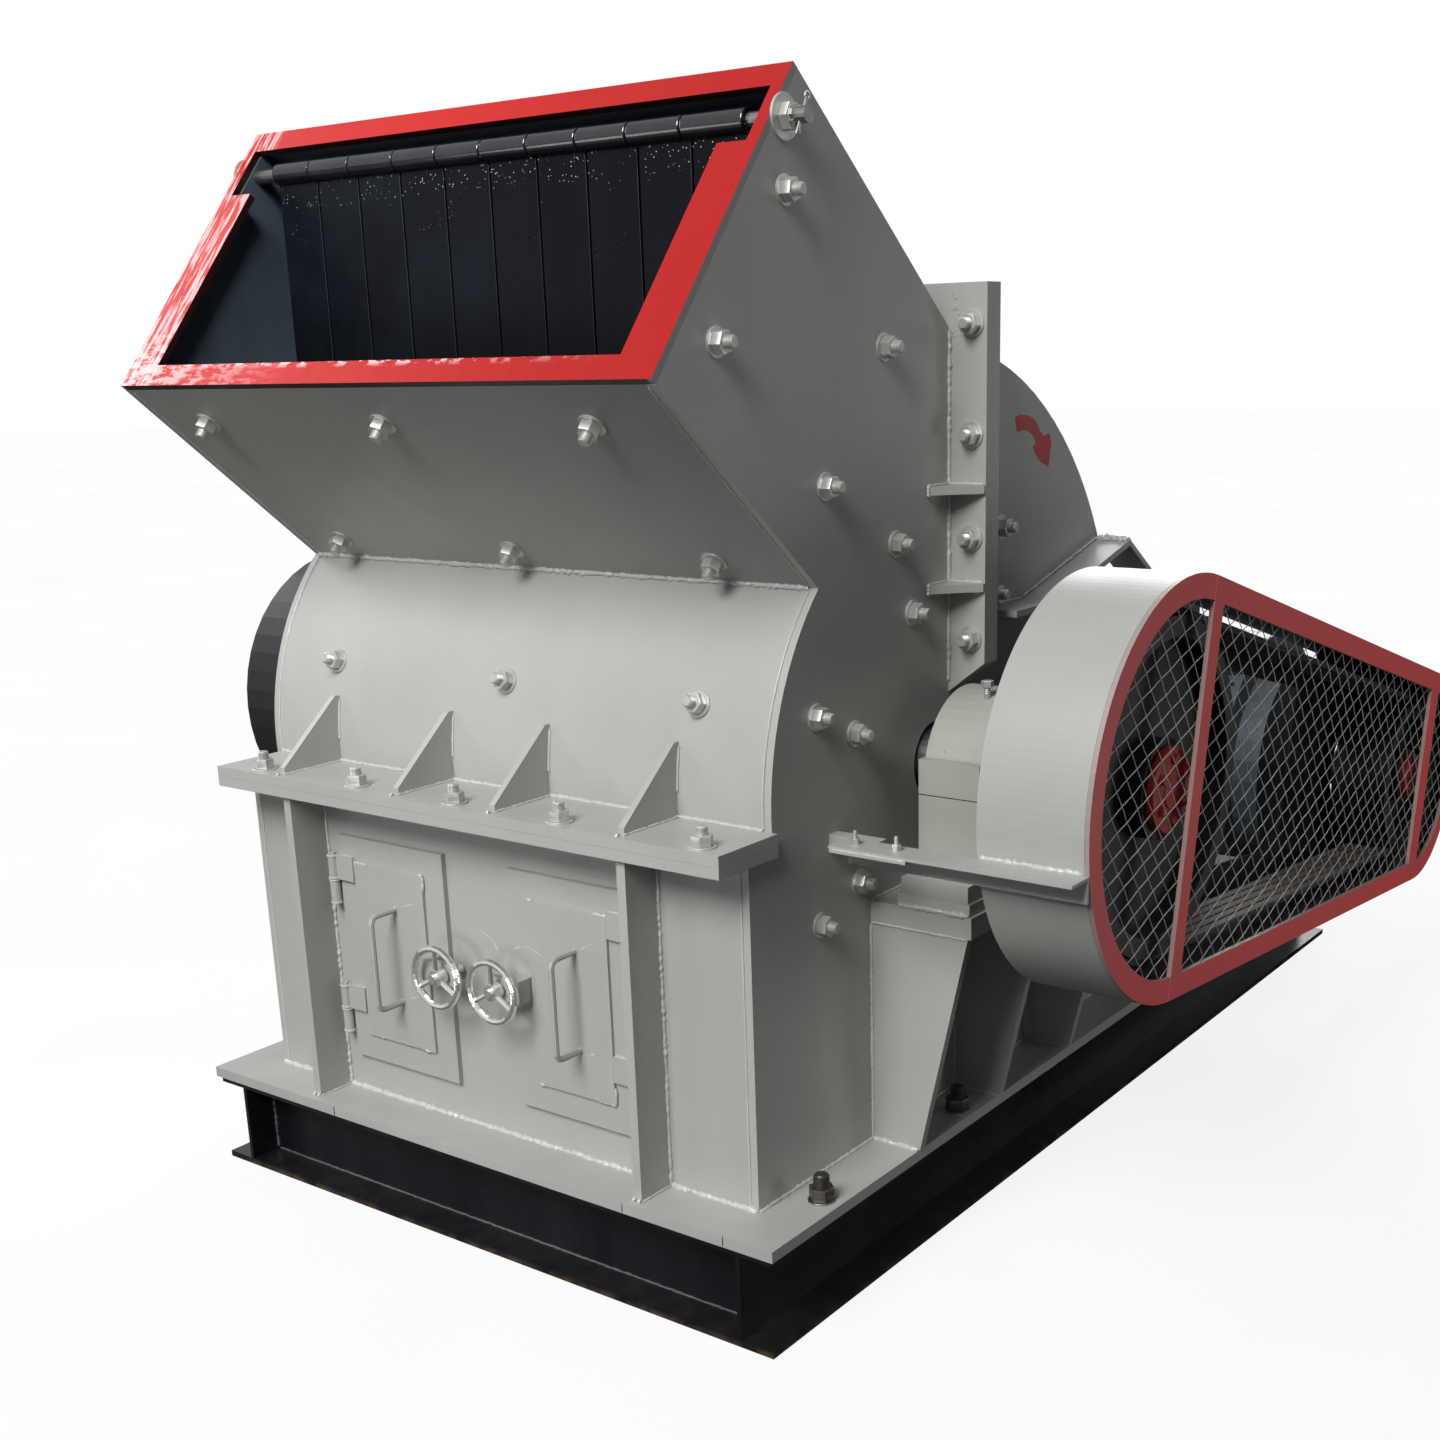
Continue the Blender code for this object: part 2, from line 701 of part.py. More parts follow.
rear_start = JOINT_Y + JOINT_PLATE + 2 * GAP
cover_back = JOINT_Y + 2 * JOINT_PLATE + 3 * GAP
flange_inner_top = ROTOR_Z + math.sqrt((REAR_RADIUS - WALL) ** 2 - (cover_back - ROTOR_Y) ** 2)


def joint_plate(low, high):
    half = [
        (INSIDE, SPLIT_Z + GAP),
        (HALF_WIDTH, SPLIT_Z + GAP),
        (HALF_WIDTH, JOINT_LUG[0]),
        (JOINT_OUT, JOINT_LUG[1]),
        (JOINT_OUT, JOINT_TOP),
    ]
    outline = half + [(-x, z) for x, z in half[::-1]]
    outline += [(-INSIDE, flange_inner_top), (INSIDE, flange_inner_top)]
    return prism("y", [(z, x) for x, z in outline], low, high)


stiffeners = []
for side in (-1, 1):
    for z in JOINT_GUSSETS:
        outline = [
            (side * (HALF_WIDTH + GAP), JOINT_Y + 0.004),
            (side * (HALF_WIDTH + GAP), JOINT_Y - JOINT_GUSSET_REACH),
            (side * (HALF_WIDTH + 0.008), JOINT_Y - JOINT_GUSSET_REACH),
            (side * JOINT_OUT, JOINT_Y - 0.006),
            (side * JOINT_OUT, JOINT_Y + 0.004),
        ]
        half = JOINT_GUSSET_PLATE / 2
        stiffeners.append(prism("z", outline, z - half, z + half))
joined(
    "joint_flange", "grey_paint",
    [joint_plate(JOINT_Y, JOINT_Y + JOINT_PLATE), *stiffeners],
    [shaft_hole(JOINT_HOLE_MARGIN)],
)

# Rear cover: hollow, open at the front and below

low_angle = math.degrees(math.asin((SPLIT_Z + GAP - ROTOR_Z) / REAR_RADIUS))
top_angle = math.degrees(math.acos((rear_start - ROTOR_Y) / REAR_RADIUS))
cover_arc = arc(rotor_axis, REAR_RADIUS, low_angle, top_angle)
inner_top = math.degrees(math.acos((cover_back - ROTOR_Y) / (REAR_RADIUS - WALL)))
inner_arc = arc(rotor_axis, REAR_RADIUS - WALL, low_angle, inner_top)
shell = prism(
    "x",
    [(rear_start, SPLIT_Z + GAP), *cover_arc],
    -HALF_WIDTH,
    HALF_WIDTH,
)
hollow = prism(
    "x",
    [
        (rear_start - WALL, SPLIT_Z - WALL),
        (inner_arc[0][0], SPLIT_Z - WALL),
        *inner_arc,
        (rear_start - WALL, inner_arc[-1][1] - 2 * WALL),
    ],
    -INSIDE,
    INSIDE,
)
ridges = []
for side in (-1, 1):
    top = [(ROTOR_Y + y * REAR_RADIUS, ROTOR_Z + z * REAR_RADIUS) for y, z in RIDGE_SHAPE]
    under = [(y, z - RIDGE_PLATE) for y, z in top]
    ridge = prism("x", top + under[::-1], HALF_WIDTH - 0.004, HALF_WIDTH + RIDGE_OUT)
    ridges.append(mirrored(ridge) if side < 0 else ridge)
joined(
    "rear_cover", "grey_paint",
    [shell, joint_plate(rear_start, cover_back), *ridges],
    [hollow, shaft_hole()],
)

# Doors, their hinges and clamp screws

FACE = -GAP - DOOR_PLATE
PANEL_FACE = FACE - PANEL_PLATE
hinge_levels = {"lower": HINGE_Z[0], "upper": HINGE_Z[1]}


def door(label, side, handle_x, wheel_x):
    def span(a, b):
        return sorted((side * a, side * b))

    solids = [
        box(span(*DOOR_X), (FACE, -GAP), DOOR_Z),
        box(span(*PANEL_X), (PANEL_FACE, FACE + 0.002), PANEL_Z),
    ]
    for z in hinge_levels.values():
        top = (z + GAP, z + HINGE_LENGTH / 2)
        leaf_end = HINGE_X - 5.5 * HINGE_RADIUS
        leaf = box(span(HINGE_X, leaf_end), (HINGE_Y - 0.002, FACE + 0.002), top)
        barrel = cylinder("z", (side * HINGE_X, HINGE_Y), HINGE_RADIUS, *top, 16)
        solids += [leaf, barrel]
    handle = []
    for z, sign in ((HANDLE_Z[0], 1), (HANDLE_Z[1], -1)):
        end = [
            (handle_x, PANEL_FACE + 0.002, z),
            (handle_x, -HANDLE_OUT + HANDLE_BEND, z),
            (handle_x, -HANDLE_OUT + HANDLE_BEND * 0.3, z + sign * HANDLE_BEND * 0.3),
            (handle_x, -HANDLE_OUT, z + sign * HANDLE_BEND),
        ]
        handle += end if sign > 0 else end[::-1]
    solids.append(tube(handle, HANDLE_RADIUS))
    arm_z = (WHEEL_Z - ARM_HALF, WHEEL_Z + ARM_HALF)
    arm_end = side * wheel_x - ARM_HALF - 0.005
    arm_root = DOOR_X[0] + 0.048
    arm = box(span(arm_end, arm_root), (ARM_Y, ARM_Y + ARM_PLATE), arm_z)
    block = box(span(arm_root - 0.036, arm_root), (ARM_Y, FACE + 0.002), arm_z)
    solids += [arm, block]
    pin_hole = cylinder("z", (side * HINGE_X, HINGE_Y), PIN_RADIUS + 0.0008, 0.0, 1.0, 12)
    screw_hole = cylinder(
        "y", (WHEEL_Z, wheel_x), SCREW_RADIUS + 0.001, ARM_Y - ARM_PLATE, ARM_Y + 2 * ARM_PLATE, 16
    )
    joined(f"door_{label}", "grey_paint", solids, [pin_hole, screw_hole])


def fixed_hinge(name, side, z):
    """The half of a hinge that stays on the wall: leaf, lower barrel and pin."""
    low = (z - HINGE_LENGTH / 2, z - GAP)
    x = side * HINGE_X
    barrel = cylinder("z", (x, HINGE_Y), HINGE_RADIUS, *low, 16)
    pin = cylinder("z", (x, HINGE_Y), PIN_RADIUS, low[0], z + HINGE_LENGTH / 2 + 0.003, 12)
    leaf = box(
        sorted((side * (HINGE_X - 0.006), side * (HINGE_X + 0.016))),
        (HINGE_Y, -GAP),
        low,
    )
    joined(name, "grey_paint", [barrel, leaf, pin])


def hand_wheel(name, x, tip):
    """Rim, three spokes, hub and clamp screw, about an axis along Y."""
    centre = Vector((x, WHEEL_Y, WHEEL_Z))
    rim = ring(centre, WHEEL_RADIUS, WHEEL_RIM)
    hub = cylinder("y", (WHEEL_Z, x), HUB_RADIUS, WHEEL_Y - 0.006, WHEEL_Y + 0.014, 18)
    screw = cylinder("y", (WHEEL_Z, x), SCREW_RADIUS, WHEEL_Y - 0.012, tip, 14)
    spokes = []
    for angle in (90, 210, 330):
        c, s = turn(angle)
        out = Vector((c, 0, s))
        spokes.append(tube([centre + HUB_RADIUS / 2 * out, centre + WHEEL_RADIUS * out], SPOKE_RADIUS, 1))
    joined(name, "chrome", [rim, hub, screw, *spokes])


for index, (label, side) in enumerate(SIDES.items()):
    door(label, side, HANDLE_X[index], WHEEL_X[index])
    hand_wheel(f"hand_wheel_{label}", WHEEL_X[index], SCREW_TIPS[index])
    for level, z in hinge_levels.items():
        fixed_hinge(f"hinge_{label}_{level}", side, z)

# Pedestals and bearing housings

packer_top = PEDESTAL_TOP + PACKER
foot_low = packer_top + GAP
foot_top = foot_low + FOOT_HEIGHT
for label, side in SIDES.items():
    head_z = (PEDESTAL_TOP - PEDESTAL_BAND, PEDESTAL_TOP)
    head = box((HALF_WIDTH + GAP, PEDESTAL_HEAD), PEDESTAL_Y, head_z)
    packer = box(
        (BEARING_X[0] - 0.008, BEARING_X[1] + 0.015),
        (ROTOR_Y - BEARING_FOOT, ROTOR_Y + BEARING_FOOT),
        (PEDESTAL_TOP - 0.004, packer_top),
    )
    webs = []
    middle = (PEDESTAL_Y[0] + PEDESTAL_Y[1]) / 2
    for y in (PEDESTAL_Y[0], middle - WEB_PLATE / 2, PEDESTAL_Y[1] - WEB_PLATE):
        outline = [
            (SOLE_TOP + GAP, HALF_WIDTH + GAP),
            (SOLE_TOP + GAP, PEDESTAL_FOOT),
            (PEDESTAL_TOP - 0.010, PEDESTAL_HEAD),
            (PEDESTAL_TOP - 0.010, HALF_WIDTH + GAP),
        ]
        webs.append(prism("y", outline, y, y + WEB_PLATE))
    joined(f"pedestal_{label}", "grey_paint", sided([head, packer, *webs], side))

    foot = box(
        (BEARING_X[0], BEARING_X[1] + 0.012),
        (ROTOR_Y - BEARING_FOOT, ROTOR_Y + BEARING_FOOT),
        (foot_low, foot_top),
    )
    block = box(
        BEARING_X,
        (ROTOR_Y - BEARING_HALF, ROTOR_Y + BEARING_HALF),
        (foot_top - 0.004, CAP_LUG),
    )
    cap = cylinder("x", rotor_axis, CAP_RADIUS, BEARING_X[0] + 0.002, BEARING_X[1] - 0.002, 40)
    boss_x = (BEARING_X[0] - BOSS_OUT, BEARING_X[1] + BOSS_OUT)
    boss = cylinder("x", rotor_axis, BOSS_RADIUS, *boss_x, 32)
    bore = cylinder("x", rotor_axis, SHAFT_RADIUS + BORE_PLAY, boss_x[0] - 0.01, boss_x[1] + 0.01, 32)
    solids = sided([foot, block, cap, boss], side)
    joined(f"bearing_{label}", "casting_paint", solids, sided([bore], side))

# Rotor, flywheel and pulleys

shaft_x = (FLYWHEEL_X[0] - SHAFT_NOSE, PULLEY_X[1] + SHAFT_NOSE / 2)
shaft = cylinder("x", rotor_axis, SHAFT_RADIUS, *shaft_x, 32)
body_x = INSIDE - ROTOR_PLAY
body = cylinder("x", rotor_axis, ROTOR_SHAFT, -body_x, body_x, 32)
disc_pitch = 2 * (INSIDE - DISC_INSET) / (DISCS - 1)
discs = []
for index in range(DISCS):
    x = index * disc_pitch - (INSIDE - DISC_INSET)
    discs.append(cylinder("x", rotor_axis, DISC_RADIUS, x - DISC_PLATE / 2, x + DISC_PLATE / 2, 20))
hammers = []
for index in range(DISCS - 1):
    x = (index + 0.5) * disc_pitch - (INSIDE - DISC_INSET)
    hammer = box(
        (x - HAMMER_WIDTH / 2, x + HAMMER_WIDTH / 2),
        (-HAMMER_RADIUS, HAMMER_RADIUS),
        (-HAMMER_HEIGHT / 2, HAMMER_HEIGHT / 2),
    )
    spin = Matrix.Rotation(math.radians(45 * index), 4, "X")
    hammer.data.transform(Matrix.Translation((0, ROTOR_Y, ROTOR_Z)) @ spin)
    hammers.append(hammer)
joined("rotor", "bare_steel", [shaft, body, *discs, *hammers])


def wheel_profile(x, radius, rim, web, hub, bore):
    """A rim, web and hub section as (x, radius) points."""
    low, high = x
    middle = (low + high) / 2
    return [
        (low, radius),
        (low, radius - rim),
        (middle - web, radius - rim),
        (middle - web, hub),
        (low + 0.006, hub),
        (low + 0.006, bore),
        (high - 0.006, bore),
        (high - 0.006, hub),
        (middle + web, hub),
        (middle + web, radius - rim),
        (high, radius - rim),
        (high, radius),
    ]


bore = SHAFT_RADIUS + GAP
flywheel_profile = wheel_profile(FLYWHEEL_X, FLYWHEEL_RADIUS, FLYWHEEL_RIM, 0.020, 0.095, bore)
joined("flywheel", "black_casting", [turned(flywheel_profile, rotor_axis, 48)])
pulley_profile = wheel_profile(PULLEY_X, PULLEY_RADIUS, PULLEY_RIM, 0.014, 0.085, bore)
joined("crusher_pulley", "black_casting", [turned(pulley_profile, rotor_axis)])

drive = wheel_profile(PULLEY_X, MOTOR_PULLEY_RADIUS, 0.030, 0.018, 0.060, MOTOR_SHAFT - 0.002)
drive_shaft = cylinder(
    "x", motor_axis, MOTOR_SHAFT, MOTOR_X[1] - 0.10, PULLEY_X[1] + SHAFT_NOSE / 3, 24
)
joined("motor_pulley", "black_casting", [turned(drive, motor_axis), drive_shaft])

belt_outer = loop_outline(PULLEY_RADIUS, MOTOR_PULLEY_RADIUS, BELT_PLAY + BELT_PLATE)
belt_inner = loop_outline(PULLEY_RADIUS, MOTOR_PULLEY_RADIUS, BELT_PLAY)
belt_x = (PULLEY_X[0] + BELT_INSET, PULLEY_X[1] - BELT_INSET)
joined(
    "belt_loop",
    "rubber",
    [prism("x", belt_outer, *belt_x)],
    [prism("x", belt_inner, belt_x[0] - 0.01, belt_x[1] + 0.01)],
)

# Motor on its rails

feet_z = (MOTOR_FOOT_Z, MOTOR_FOOT_Z + MOTOR_FOOT_PLATE)
frame = cylinder("x", motor_axis, MOTOR_RADIUS, MOTOR_X[0] + 0.10, MOTOR_X[1] - 0.06, 40)
cowl = cylinder("x", motor_axis, MOTOR_RADIUS - 0.012, MOTOR_X[0], MOTOR_X[0] + 0.11, 40)
bell = cylinder("x", motor_axis, MOTOR_RADIUS - 0.06, MOTOR_X[1] - 0.07, MOTOR_X[1], 32)
feet = box(MOTOR_FEET, (MOTOR_Y - MOTOR_FOOT_HALF, MOTOR_Y + MOTOR_FOOT_HALF), feet_z)
saddle = box(
    MOTOR_FEET,
    (MOTOR_Y - MOTOR_SADDLE_HALF, MOTOR_Y + MOTOR_SADDLE_HALF),
    (feet_z[1] - 0.008, MOTOR_Z),
)
terminal = box(
    TERMINAL_X, (MOTOR_Y - TERMINAL_HALF, MOTOR_Y + TERMINAL_HALF), (MOTOR_Z, TERMINAL_TOP)
)
shaft_bore = cylinder("x", motor_axis, MOTOR_SHAFT + 0.005, MOTOR_X[1] - 0.12, MOTOR_X[1] + 0.1, 24)
joined("motor", "motor_enamel", [frame, cowl, bell, feet, saddle, terminal], [shaft_bore])

rails = []
for x in MOTOR_RAILS:
    rails.append(
        box(
            (x - RAIL_WIDTH / 2, x + RAIL_WIDTH / 2),
            (RAIL_FRONT, BASE_BACK - 0.02),
            (BEAM_HEIGHT + GAP, MOTOR_FOOT_Z - GAP),
        )
    )
tie = box(MOTOR_RAILS, (RAIL_FRONT + 0.015, RAIL_FRONT + 0.095), (BEAM_HEIGHT + GAP, BEAM_HEIGHT + 0.040))
joined("motor_rails", "black_paint", [*rails, tie])

# Belt guard: sheet band, red ring with two bars, and its supports

band_outer = loop_outline(GUARD_RADIUS, GUARD_MOTOR_RADIUS, 0.0, 2.5)
band_inner = loop_outline(GUARD_RADIUS, GUARD_MOTOR_RADIUS, -GUARD_SHEET, 2.5)
ring_low = GUARD_X[1] - RING_PLATE
band = prism("x", band_outer, GUARD_X[0], ring_low - GAP)
band_hollow = prism("x", band_inner, GUARD_X[0] - 0.1, GUARD_X[1] + 0.1)
front = ROTOR_Y - math.sqrt(GUARD_RADIUS**2 - (ROTOR_Z - GUARD_ANGLE_Z) ** 2)
shelf_y = (front - ANGLE_SHELF, front - 0.0008)
leg_y = (shelf_y[1] - ANGLE_PLATE, shelf_y[1])
guard_angle = [
    box(ANGLE_X, shelf_y, (GUARD_ANGLE_Z - ANGLE_PLATE, GUARD_ANGLE_Z)),
    box((SUPPORT_X[1] + GAP, ANGLE_X[1]), leg_y, (GUARD_ANGLE_Z - ANGLE_LEG, GUARD_ANGLE_Z)),
    box(
        (GUARD_X[0] + 0.001, ring_low - GAP - 0.001),
        (leg_y[0] + 0.001, front + 0.010),
        (GUARD_ANGLE_Z - 0.022, GUARD_ANGLE_Z - 0.001),
    ),
]
joined("guard_band", "grey_paint", [band, *guard_angle], [band_hollow])

# The angle stands on a shorter one, which a bar carries from the housing wall

support_top = GUARD_ANGLE_Z - ANGLE_PLATE - GAP
support_end = SUPPORT_X[0] + 0.045
bar_y = (leg_y[0] + 0.020, leg_y[0] + 0.045)
joined(
    "guard_support",
    "grey_paint",
    [
        box(SUPPORT_X, (shelf_y[0] - 0.003, leg_y[1]), (support_top - ANGLE_PLATE, support_top)),
        box(SUPPORT_X, leg_y, (GUARD_ANGLE_Z - ANGLE_LEG, support_top)),
        box((SUPPORT_X[0] + 0.010, support_end), (leg_y[0] + 0.002, bar_y[1]), (support_top - 0.030, support_top)),
        box((HALF_WIDTH + GAP, support_end), bar_y, (support_top - 0.030, support_top)),
    ],
)

slope = along(rotor_axis, motor_axis)
across = (-slope[1], slope[0])


def guard_bar(centre, width):
    """A flat bar across the guard, square to the line between the shafts."""
    middle = moved(rotor_axis, slope, centre)
    corners = []
    for s, h in ((-1, -1), (1, -1), (1, 1), (-1, 1)):
        corners.append(moved(moved(middle, slope, s * width / 2), across, h * 0.5))
    return prism("x", corners, ring_low, GUARD_X[1])


def guard_loop(inset, low, high, step=4.0):
    """A solid that fills the guard's outline, moved in by an inset."""
    return prism("x", loop_outline(GUARD_RADIUS, GUARD_MOTOR_RADIUS, -inset, step), low, high)


hollow = guard_loop(RING_WIDTH, ring_low - 0.1, GUARD_X[1] + 0.1)
bars = []
for centre, width in GUARD_BARS:
    bars.append(trimmed(guard_bar(centre, width), guard_loop(RING_WIDTH / 4, ring_low - 0.1, GUARD_X[1] + 0.1)))
ring_plate = fused([guard_loop(0.0, ring_low, GUARD_X[1])], [hollow])
joined("guard_ring", "dark_red_paint", [ring_plate, *bars])

# Back sheet: open round the shafts, above the belts and beside the motor

back_x = (GUARD_BACK_X, GUARD_BACK_X + GUARD_BACK_PLATE)
back_through = (back_x[0] - 0.05, back_x[1] + 0.05)
belt_distance = math.dist(rotor_axis, motor_axis)


def back_cut(reach, levels):
    """A cut along the belts: from one share of the way to another, between two levels."""
    corners = []
    for share in reach:
        foot = moved(rotor_axis, slope, share * belt_distance)
        radius = GUARD_RADIUS + (GUARD_MOTOR_RADIUS - GUARD_RADIUS) * share
        low, high = (moved(foot, across, level * radius) for level in levels)
        corners.append((low, high))
    (a, b), (c, d) = corners
    return prism("x", [a, b, d, c], *back_through)


slot_level = 1 - (GUARD_BACK_SLOT + GUARD_SHEET) / GUARD_RADIUS
joined(
    "guard_back",
    "black_paint",
    [guard_loop(GUARD_SHEET + GAP, *back_x)],
    [
        cylinder("x", rotor_axis, GUARD_BACK_HOLES[0], *back_through, 36),
        cylinder("x", motor_axis, GUARD_BACK_HOLES[1], *back_through, 32),
        back_cut(GUARD_BACK_OPEN, (slot_level, 1.2)),
        back_cut(GUARD_BACK_WINDOW, (-0.62, 0.66)),
    ],
)

# Woven wire behind the ring: every third wire of each direction, fused where they cross

wire_x = (ring_low - GAP - WIRE, ring_low - GAP)


def wires(step, across, shift):
    """Parallel wires along one step, set apart by the part of the other step square to it."""
    length = math.hypot(*step)
    direction = (step[0] / length, step[1] / length)
    side = (-direction[1], direction[0])
    pitch = abs(across[0] * side[0] + across[1] * side[1])
    start = WIRE_START[0] * side[0] + WIRE_START[1] * side[1]
    reach = GUARD_RADIUS + math.dist(rotor_axis, motor_axis)
    middle = ((ROTOR_Y + MOTOR_Y) / 2, (ROTOR_Z + MOTOR_Z) / 2)
    level = middle[0] * side[0] + middle[1] * side[1]
    count = math.ceil(reach / pitch)
    bars = []
    for index in range(-count, count + 1):
        offset = start + round((level - start) / pitch) * pitch + index * pitch - level
        centre = moved(middle, side, offset)
        corners = []
        for s, h in ((-1, -1), (1, -1), (1, 1), (-1, 1)):
            corners.append(moved(moved(centre, direction, s * reach), side, h * WIRE / 2))
        low = wire_x[0] + shift
        bars.append(prism("x", corners, low, low + WIRE / 2))
    return bars


def gathered(shapes):
    """Shapes that stay apart, as one object."""
    shape = bmesh.new()
    for piece in shapes:
        shape.from_mesh(piece.data)
        bpy.data.objects.remove(piece)
    return solid(shape)


lattice = []
for step, across, shift in ((WIRE_STEP[0], WIRE_STEP[1], 0.0), (WIRE_STEP[1], WIRE_STEP[0], WIRE * 0.4)):
    family = gathered(wires(step, across, shift))
    lattice.append(trimmed(family, guard_loop(sum(WIRE_EDGE) / 2, wire_x[0] - 0.1, wire_x[1] + 0.1)))
edge = fused(
    [guard_loop(WIRE_EDGE[0], wire_x[0] - WIRE * 0.1, wire_x[1], 8.0)],
    [guard_loop(WIRE_EDGE[1], wire_x[0] - 0.1, wire_x[1] + 0.1, 8.0)],
)
joined("guard_mesh", "zinc", [edge, *lattice])

bottom = MOTOR_Z + (ROTOR_Z - MOTOR_Z) * (MOTOR_Y - POST_Y[0]) / (MOTOR_Y - ROTOR_Y) - GUARD_MOTOR_RADIUS - 0.030
joined(
    "guard_post",
    "grey_paint",
    [
        box(POST_X, POST_Y, (BEAM_HEIGHT + GAP, bottom + POST_HEAD)),
        box((POST_X[0], GUARD_X[0] - GAP), POST_Y, (bottom, bottom + POST_HEAD)),
    ],
)

# Every node hangs on an empty: the moving ones at their joint's axis, the rest at the floor


def holder(name, place, parent=None):
    empty = bpy.data.objects.new(name, None)
    bpy.context.scene.collection.objects.link(empty)
    empty.location = Vector(place)
    if parent is not None:
        empty.parent = parent
        empty.location -= parent.location
    return empty


def hung(names, place, empty):
    """Gives nodes an origin at a place, and hangs them there on an empty."""
    for name in names:
        node = bpy.data.objects[name]
        node.data.transform(Matrix.Translation(-Vector(place)))
        node.parent = empty


machine = holder("machine_base", (0, 0, 0))
moving = {
    "rotor_axis": ((0, ROTOR_Y, ROTOR_Z), ["rotor", "flywheel", "crusher_pulley"]),
    "motor_axis": ((sum(PULLEY_X) / 2, MOTOR_Y, MOTOR_Z), ["motor_pulley"]),
    "curtain_axis": ((0, ROD_Y, ROD_Z), ["flap_curtain"]),
    "left_door_axis": ((-HINGE_X, HINGE_Y, 0), ["door_left"]),
    "right_door_axis": ((HINGE_X, HINGE_Y, 0), ["door_right"]),
}
fixed = [shape.name for shape in bpy.data.objects if shape.type == "MESH"]
for name, (place, nodes) in moving.items():
    hung(nodes, place, holder(name, place, machine))
    fixed = [node for node in fixed if node not in nodes]
for index, label in enumerate(SIDES):
    place = (WHEEL_X[index], WHEEL_Y, WHEEL_Z)
    door_axis = bpy.data.objects[f"{label}_door_axis"]
    hung([f"hand_wheel_{label}"], place, holder(f"{label}_wheel_axis", place, door_axis))
    fixed.remove(f"hand_wheel_{label}")
for name in fixed:
    node = bpy.data.objects[name]
    corners = [Vector(corner) for corner in node.bound_box]
    low, high = corners[0], corners[6]
    foot = Vector(((low.x + high.x) / 2, (low.y + high.y) / 2, low.z))
    hung([name], foot, machine)
    node.location = foot
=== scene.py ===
import math
import random

import bmesh
import bpy
from mathutils import Matrix, Vector


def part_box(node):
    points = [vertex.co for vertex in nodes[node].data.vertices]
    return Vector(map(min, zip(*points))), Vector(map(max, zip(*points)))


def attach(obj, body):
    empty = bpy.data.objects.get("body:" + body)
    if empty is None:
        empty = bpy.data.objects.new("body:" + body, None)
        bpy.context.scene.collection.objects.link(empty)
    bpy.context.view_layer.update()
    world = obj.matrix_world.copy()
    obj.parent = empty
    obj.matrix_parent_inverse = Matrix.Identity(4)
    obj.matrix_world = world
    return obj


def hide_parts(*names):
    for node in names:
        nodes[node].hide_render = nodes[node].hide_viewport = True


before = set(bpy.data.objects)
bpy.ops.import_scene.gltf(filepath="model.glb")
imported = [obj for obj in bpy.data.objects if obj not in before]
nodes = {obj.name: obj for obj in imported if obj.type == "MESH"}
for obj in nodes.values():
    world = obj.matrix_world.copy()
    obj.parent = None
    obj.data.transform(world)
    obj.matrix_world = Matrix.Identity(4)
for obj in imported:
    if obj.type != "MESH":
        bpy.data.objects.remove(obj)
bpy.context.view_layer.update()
print("frame loaded:", len(nodes), "nodes")

# Places that several pieces share

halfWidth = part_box("upper_right_wall")[1].x
rotorAxis = Vector((0, 0.556, 0.852))
motorAxis = Vector((0, 1.896, 0.600))
rodAxis = Vector((0, 0.1375, 1.8785))
beltSlope = math.atan2(motorAxis.z - rotorAxis.z, motorAxis.y - rotorAxis.y)
frontRadius = 0.493
soleTop = 0.1973
flangeUnder = 0.7930
flangeTop = 0.8310
mouthFoot = Vector((0.0, -0.182, 1.524))
mouthUp = Vector((0.0, 0.6271, 0.7789))
mouthFront = Vector((0.0, -0.7789, 0.6271))
sides = ((1, "right"), (-1, "left"))


def wayRound(degrees):
    # The way out from the shafts at an angle from +Y towards +Z
    return Vector((0, math.cos(math.radians(degrees)), math.sin(math.radians(degrees))))


# Camera and light

view = {
    "place": (2.1913, -2.0699, 1.5537),
    "yaw": 35.8752,
    "pitch": 16.5125,
    "roll": -1.3076,
    "lens": 43.848,
    "shift": (-0.05395, 0.10599),
}


def addCamera(view):
    yaw, pitch, roll = (math.radians(view[key]) for key in ("yaw", "pitch", "roll"))
    ahead = Vector((-math.sin(yaw) * math.cos(pitch), math.cos(yaw) * math.cos(pitch), -math.sin(pitch)))
    level = Vector((math.cos(yaw), math.sin(yaw), 0))
    over = level.cross(ahead)
    right = math.cos(roll) * level + math.sin(roll) * over
    up = math.cos(roll) * over - math.sin(roll) * level
    bpy.ops.object.camera_add()
    camera = bpy.context.object
    turned = Matrix((right, up, -ahead)).transposed().to_4x4()
    camera.matrix_world = Matrix.Translation(view["place"]) @ turned
    camera.data.lens = view["lens"]
    camera.data.sensor_width = 36.0
    camera.data.shift_x, camera.data.shift_y = view["shift"]
    camera.data.clip_end = 200.0
    bpy.context.scene.camera = camera


# Each lamp is a disc: its place, size, power, the point it is aimed at, and its spread in degrees
lamps = {
    "key": ((0.9, -6.4, 6.9), 4.6, 900.0, (0.1, 0.5, 0.9), 180.0),
    "side": ((3.0, 1.8, 0.5), 1.0, 9.5, (1.07, 1.1, 0.75), 180.0),
    "low": ((-3.4, -4.2, 0.5), 1.6, 18.0, (-0.5, 0.0, 1.3), 180.0),
    "back": ((-2.4, 8.4, 4.6), 4.0, 300.0, (0.1, 0.5, 0.9), 180.0),
    "left": ((-6.8, 0.6, 3.8), 3.6, 130.0, (0.1, 0.5, 0.9), 180.0),
    "front": ((0.2, -2.8, 0.3), 0.8, 0.7, (0.1, 0.0, 0.4), 36.0),
    "mouth": ((0.5, -1.1, 2.9), 0.5, 2.0, (-0.6, 0.1, 1.6), 50.0),
}
